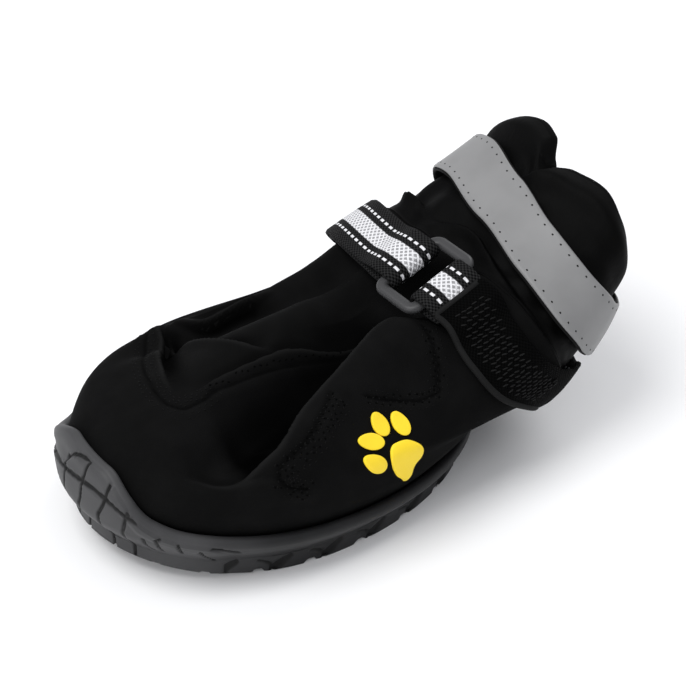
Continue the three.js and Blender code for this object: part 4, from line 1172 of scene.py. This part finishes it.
# Loose reflective band with its dark backing
def band_layer(name, low_lift, high_lift, start, end, columns):
    angles = np.linspace(-180, 180, 361)[:-1][:, None]
    across = np.linspace(start, end, columns)[None, :]
    base = on_band(band_key, angles, across, 0.0)
    angle, low_key, over = np.broadcast_arrays(angles, band_key(angles), across)
    _, _, out = frame_of(angle, across_key(angle, low_key, over))
    wave = 0.12 * noise(base, 18, 11)
    edge = np.minimum(across - start, end - across)
    inset = 0.3 * (1 - step(0, 0.5, edge))
    high = base + out * (high_lift + wave - inset)[..., None]
    low = base + out * (low_lift + wave + inset * 0.3)[..., None]
    grid = np.concatenate([high, low[:, ::-1]], 1)
    return loop_grid(name, grid, True)


tape = band_layer(
    "band_tape", BAND_OFFSET + 0.1, BAND_OFFSET + BAND_THICK / 2, 0.35, WEB_WIDTH - 0.35, 27)
finish_piece(tape, [TAPE], ["reflective_band"])
backing = band_layer(
    "band_backing", BAND_OFFSET - BAND_THICK / 2, BAND_OFFSET + 0.06, 0.0, WEB_WIDTH, 17)
finish_piece(backing, [BACKING])


def band_holes():
    """Needle holes along both edges of the tape, as small dark dimples."""
    centres, outs, alongs = [], [], []
    for across in (1.9, WEB_WIDTH - 1.9):
        fine = np.linspace(-180, 180, 1441)
        line = on_band(band_key, fine, across, BAND_OFFSET + BAND_THICK / 2)
        run = run_along(line)
        count = int(run[-1] / 3.2)
        at = np.interp(np.arange(count) * run[-1] / count, run, fine)
        key = across_key(at, band_key(at), np.full_like(at, across))
        base = envelope(at, key)
        around, _, out = frame_of(at, key)
        wave = 0.12 * noise(base, 18, 11)
        centres.append(base + out * (BAND_OFFSET + BAND_THICK / 2 + wave - 0.02)[:, None])
        outs.append(out)
        alongs.append(around)
    centres, alongs, outs = (np.concatenate(v) for v in (centres, alongs, outs))
    return capsules("band_holes", centres, alongs, outs, 0.6, 0.5, 0.16)


finish_piece(band_holes(), [HOLE])


# Paw motif printed a little proud of the near flank
PAW_ROWS = [
    ("paw_pad", 0, 0, 1, 1, 0), ("paw_toe_1", 5.2, 4.4, 1.9, 3.4, -18),
    ("paw_toe_2", 2.0, 8.2, 1.9, 3.3, -36), ("paw_toe_3", -2.8, 8.4, 2.05, 2.9, 22),
    ("paw_toe_4", -6.2, 4.4, 2.05, 2.95, 22),
]
PAD_OUTLINE = [
    (-0.8, 3.6), (-2.5, 2.6), (-3.9, 1.5), (-4.8, -0.4), (-5.3, -2.3), (-5.1, -4.1), (-4.1, -5.2),
    (-2.7, -5.1), (-1.5, -5.6), (-0.8, -6.8), (0.3, -7.4), (1.4, -6.6), (1.8, -5.0), (2.6, -3.4),
    (2.8, -0.5), (2.0, 2.1), (0.7, 3.4),
]
paw_centre = envelope(86.0, 0.37)
paw_normal = frame_of(np.array(76.0), np.array(0.42))[2]
paw_forward = unit(np.array([1.0, 0, 0]) - paw_normal * paw_normal[0])
paw_up = np.cross(paw_forward, paw_normal)
if paw_up[2] < 0:
    paw_up = -paw_up
PAW_TURN = math.radians(31)
# Share of the outline and lift of each ring of a print
PAW_DOME = [(1.0, -0.3), (1.0, 0.42), (0.965, 0.55), (0.9, 0.6), (0.7, 0.62), (0.45, 0.62), (0.2, 0.62)]


def flank_point(a, b, lift):
    right = a * math.cos(PAW_TURN) + b * math.sin(PAW_TURN)
    high = b * math.cos(PAW_TURN) - a * math.sin(PAW_TURN)
    start = paw_centre + paw_forward * right + paw_up * high + paw_normal * 30
    hit, _, _, _ = upper_tree.ray_cast(Vector(start), Vector(-paw_normal), 60)
    return np.array(hit) + paw_normal * lift


def paw_outline(name, half_a, half_b):
    """Rounded outline of the pad or a pointed oval for a toe."""
    t = np.linspace(0, 2 * math.pi, 61)[:-1]
    if name != "paw_pad":
        return np.stack([half_a * np.cos(t) * (1 - 0.1 * np.sin(t)), half_b * bent(np.sin(t), 1.12)], 1)
    rows = np.array(PAD_OUTLINE + PAD_OUTLINE + PAD_OUTLINE)
    turn = np.arange(len(rows)) / len(PAD_OUTLINE)
    at = 1 + t / (2 * math.pi)
    smooth = np.stack([np.interp(at, turn, rows[:, c]) for c in (0, 1)], 1)
    for _ in range(2):
        smooth = (np.roll(smooth, 1, 0) + 2 * smooth + np.roll(smooth, -1, 0)) / 4
    return smooth


def paw_piece(name, a, b, half_a, half_b, tilt):
    cos, sin = math.cos(math.radians(tilt)), math.sin(math.radians(tilt))
    outline = paw_outline(name, half_a, half_b)
    centre = outline.mean(0)

    def spot(p, q, lift):
        return flank_point(a + p * cos - q * sin, b + p * sin + q * cos, lift)

    grid = np.array([[spot(p, q, lift) for p, q in centre + (outline - centre) * share]
                     for share, lift in PAW_DOME])
    rings, count = grid.shape[:2]
    points = np.concatenate([grid.reshape(-1, 3), [spot(*centre, PAW_DOME[-1][1])]])
    quads = grid_faces(rings, count, False)
    last = (rings - 1) * count
    j = np.arange(count)
    fan = np.stack([last + j, np.full(count, len(points) - 1), last + (j + 1) % count], 1)
    side = quads[0]
    normal = np.cross(points[side[1]] - points[side[0]], points[side[3]] - points[side[0]])
    if normal @ (points[side[0]] - grid[0].mean(0)) < 0:
        quads = quads[:, ::-1]
        fan = fan[:, ::-1]
    faces = np.concatenate([quads[:, [0, 1, 2]], quads[:, [0, 2, 3]], fan])
    return mesh_piece(name + "_print", points, faces)


for paw_row in PAW_ROWS:
    finish_piece(paw_piece(*paw_row), [PRINT], [paw_row[0]])

# Floor, soft lights and camera
FLOOR_HALF = 3000
corners = np.array([[-1, -1, 0], [1, -1, 0], [1, 1, 0], [-1, 1, 0]]) * FLOOR_HALF
floor = mesh_piece("floor", corners, [[0, 1, 2, 3]])
floor.data.materials.append(plain("pale_floor", srgb(252), 0.9, 0.1))

scene = bpy.context.scene
scene.view_settings.view_transform = "Standard"
world = bpy.data.worlds.new("pale_world")
world.use_nodes = True
world.node_tree.nodes["Background"].inputs[0].default_value = (0.95, 0.96, 1.0, 1)
world.node_tree.nodes["Background"].inputs[1].default_value = 0.6
scene.world = world


def area_light(name, place, target, size, power):
    data = bpy.data.lights.new(name, "AREA")
    data.shape = "DISK"
    data.size = size
    data.energy = power
    light = bpy.data.objects.new(name, data)
    light.location = place
    light.rotation_mode = "QUATERNION"
    light.rotation_quaternion = (Vector(target) - Vector(place)).to_track_quat("-Z", "Y")
    scene.collection.objects.link(light)


area_light("key", (0.35, -0.1, 0.75), (0, 0, 0.02), 0.5, 4.0)
area_light("fill", (0.75, 0.2, 0.35), (0, 0, 0.03), 0.5, 1.6)
area_light("back", (-0.6, -0.25, 0.5), (-0.05, 0, 0.04), 0.4, 1.5)

# The camera keeps the photograph's standpoint and is aimed at the one shoe
spot = np.array([176.207, 244.979, 270.857])
photo_right = np.array([-0.84805, 0.52992, 0.0])
photo_back = np.array([0.42870, 0.68607, 0.58779])
photo_up = np.cross(photo_back, photo_right)
# Pixels of the photograph: half its width, its focal length and the middle of the shoe
PHOTO_HALF = 343
PHOTO_FOCAL = 1250
SHOE_RIGHT = 460
SHOE_DOWN = 384
shoe_right = (SHOE_RIGHT - PHOTO_HALF) / PHOTO_FOCAL
shoe_up = (PHOTO_HALF - SHOE_DOWN) / PHOTO_FOCAL
aim = photo_right * shoe_right + photo_up * shoe_up - photo_back
forward = unit(aim)
up = unit(photo_up - forward * (photo_up @ forward))
right = np.cross(forward, up)
camera_data = bpy.data.cameras.new("camera")
camera_data.sensor_width = 36
camera_data.lens = 88.6
camera_data.clip_start = 0.01
camera_data.clip_end = 20
camera = bpy.data.objects.new("camera", camera_data)
basis = np.eye(4)
basis[:3, 0] = right
basis[:3, 1] = up
basis[:3, 2] = -forward
basis[:3, 3] = spot * MM
camera.matrix_world = Matrix(basis.tolist())
scene.collection.objects.link(camera)
scene.camera = camera

bpy.context.view_layer.update()
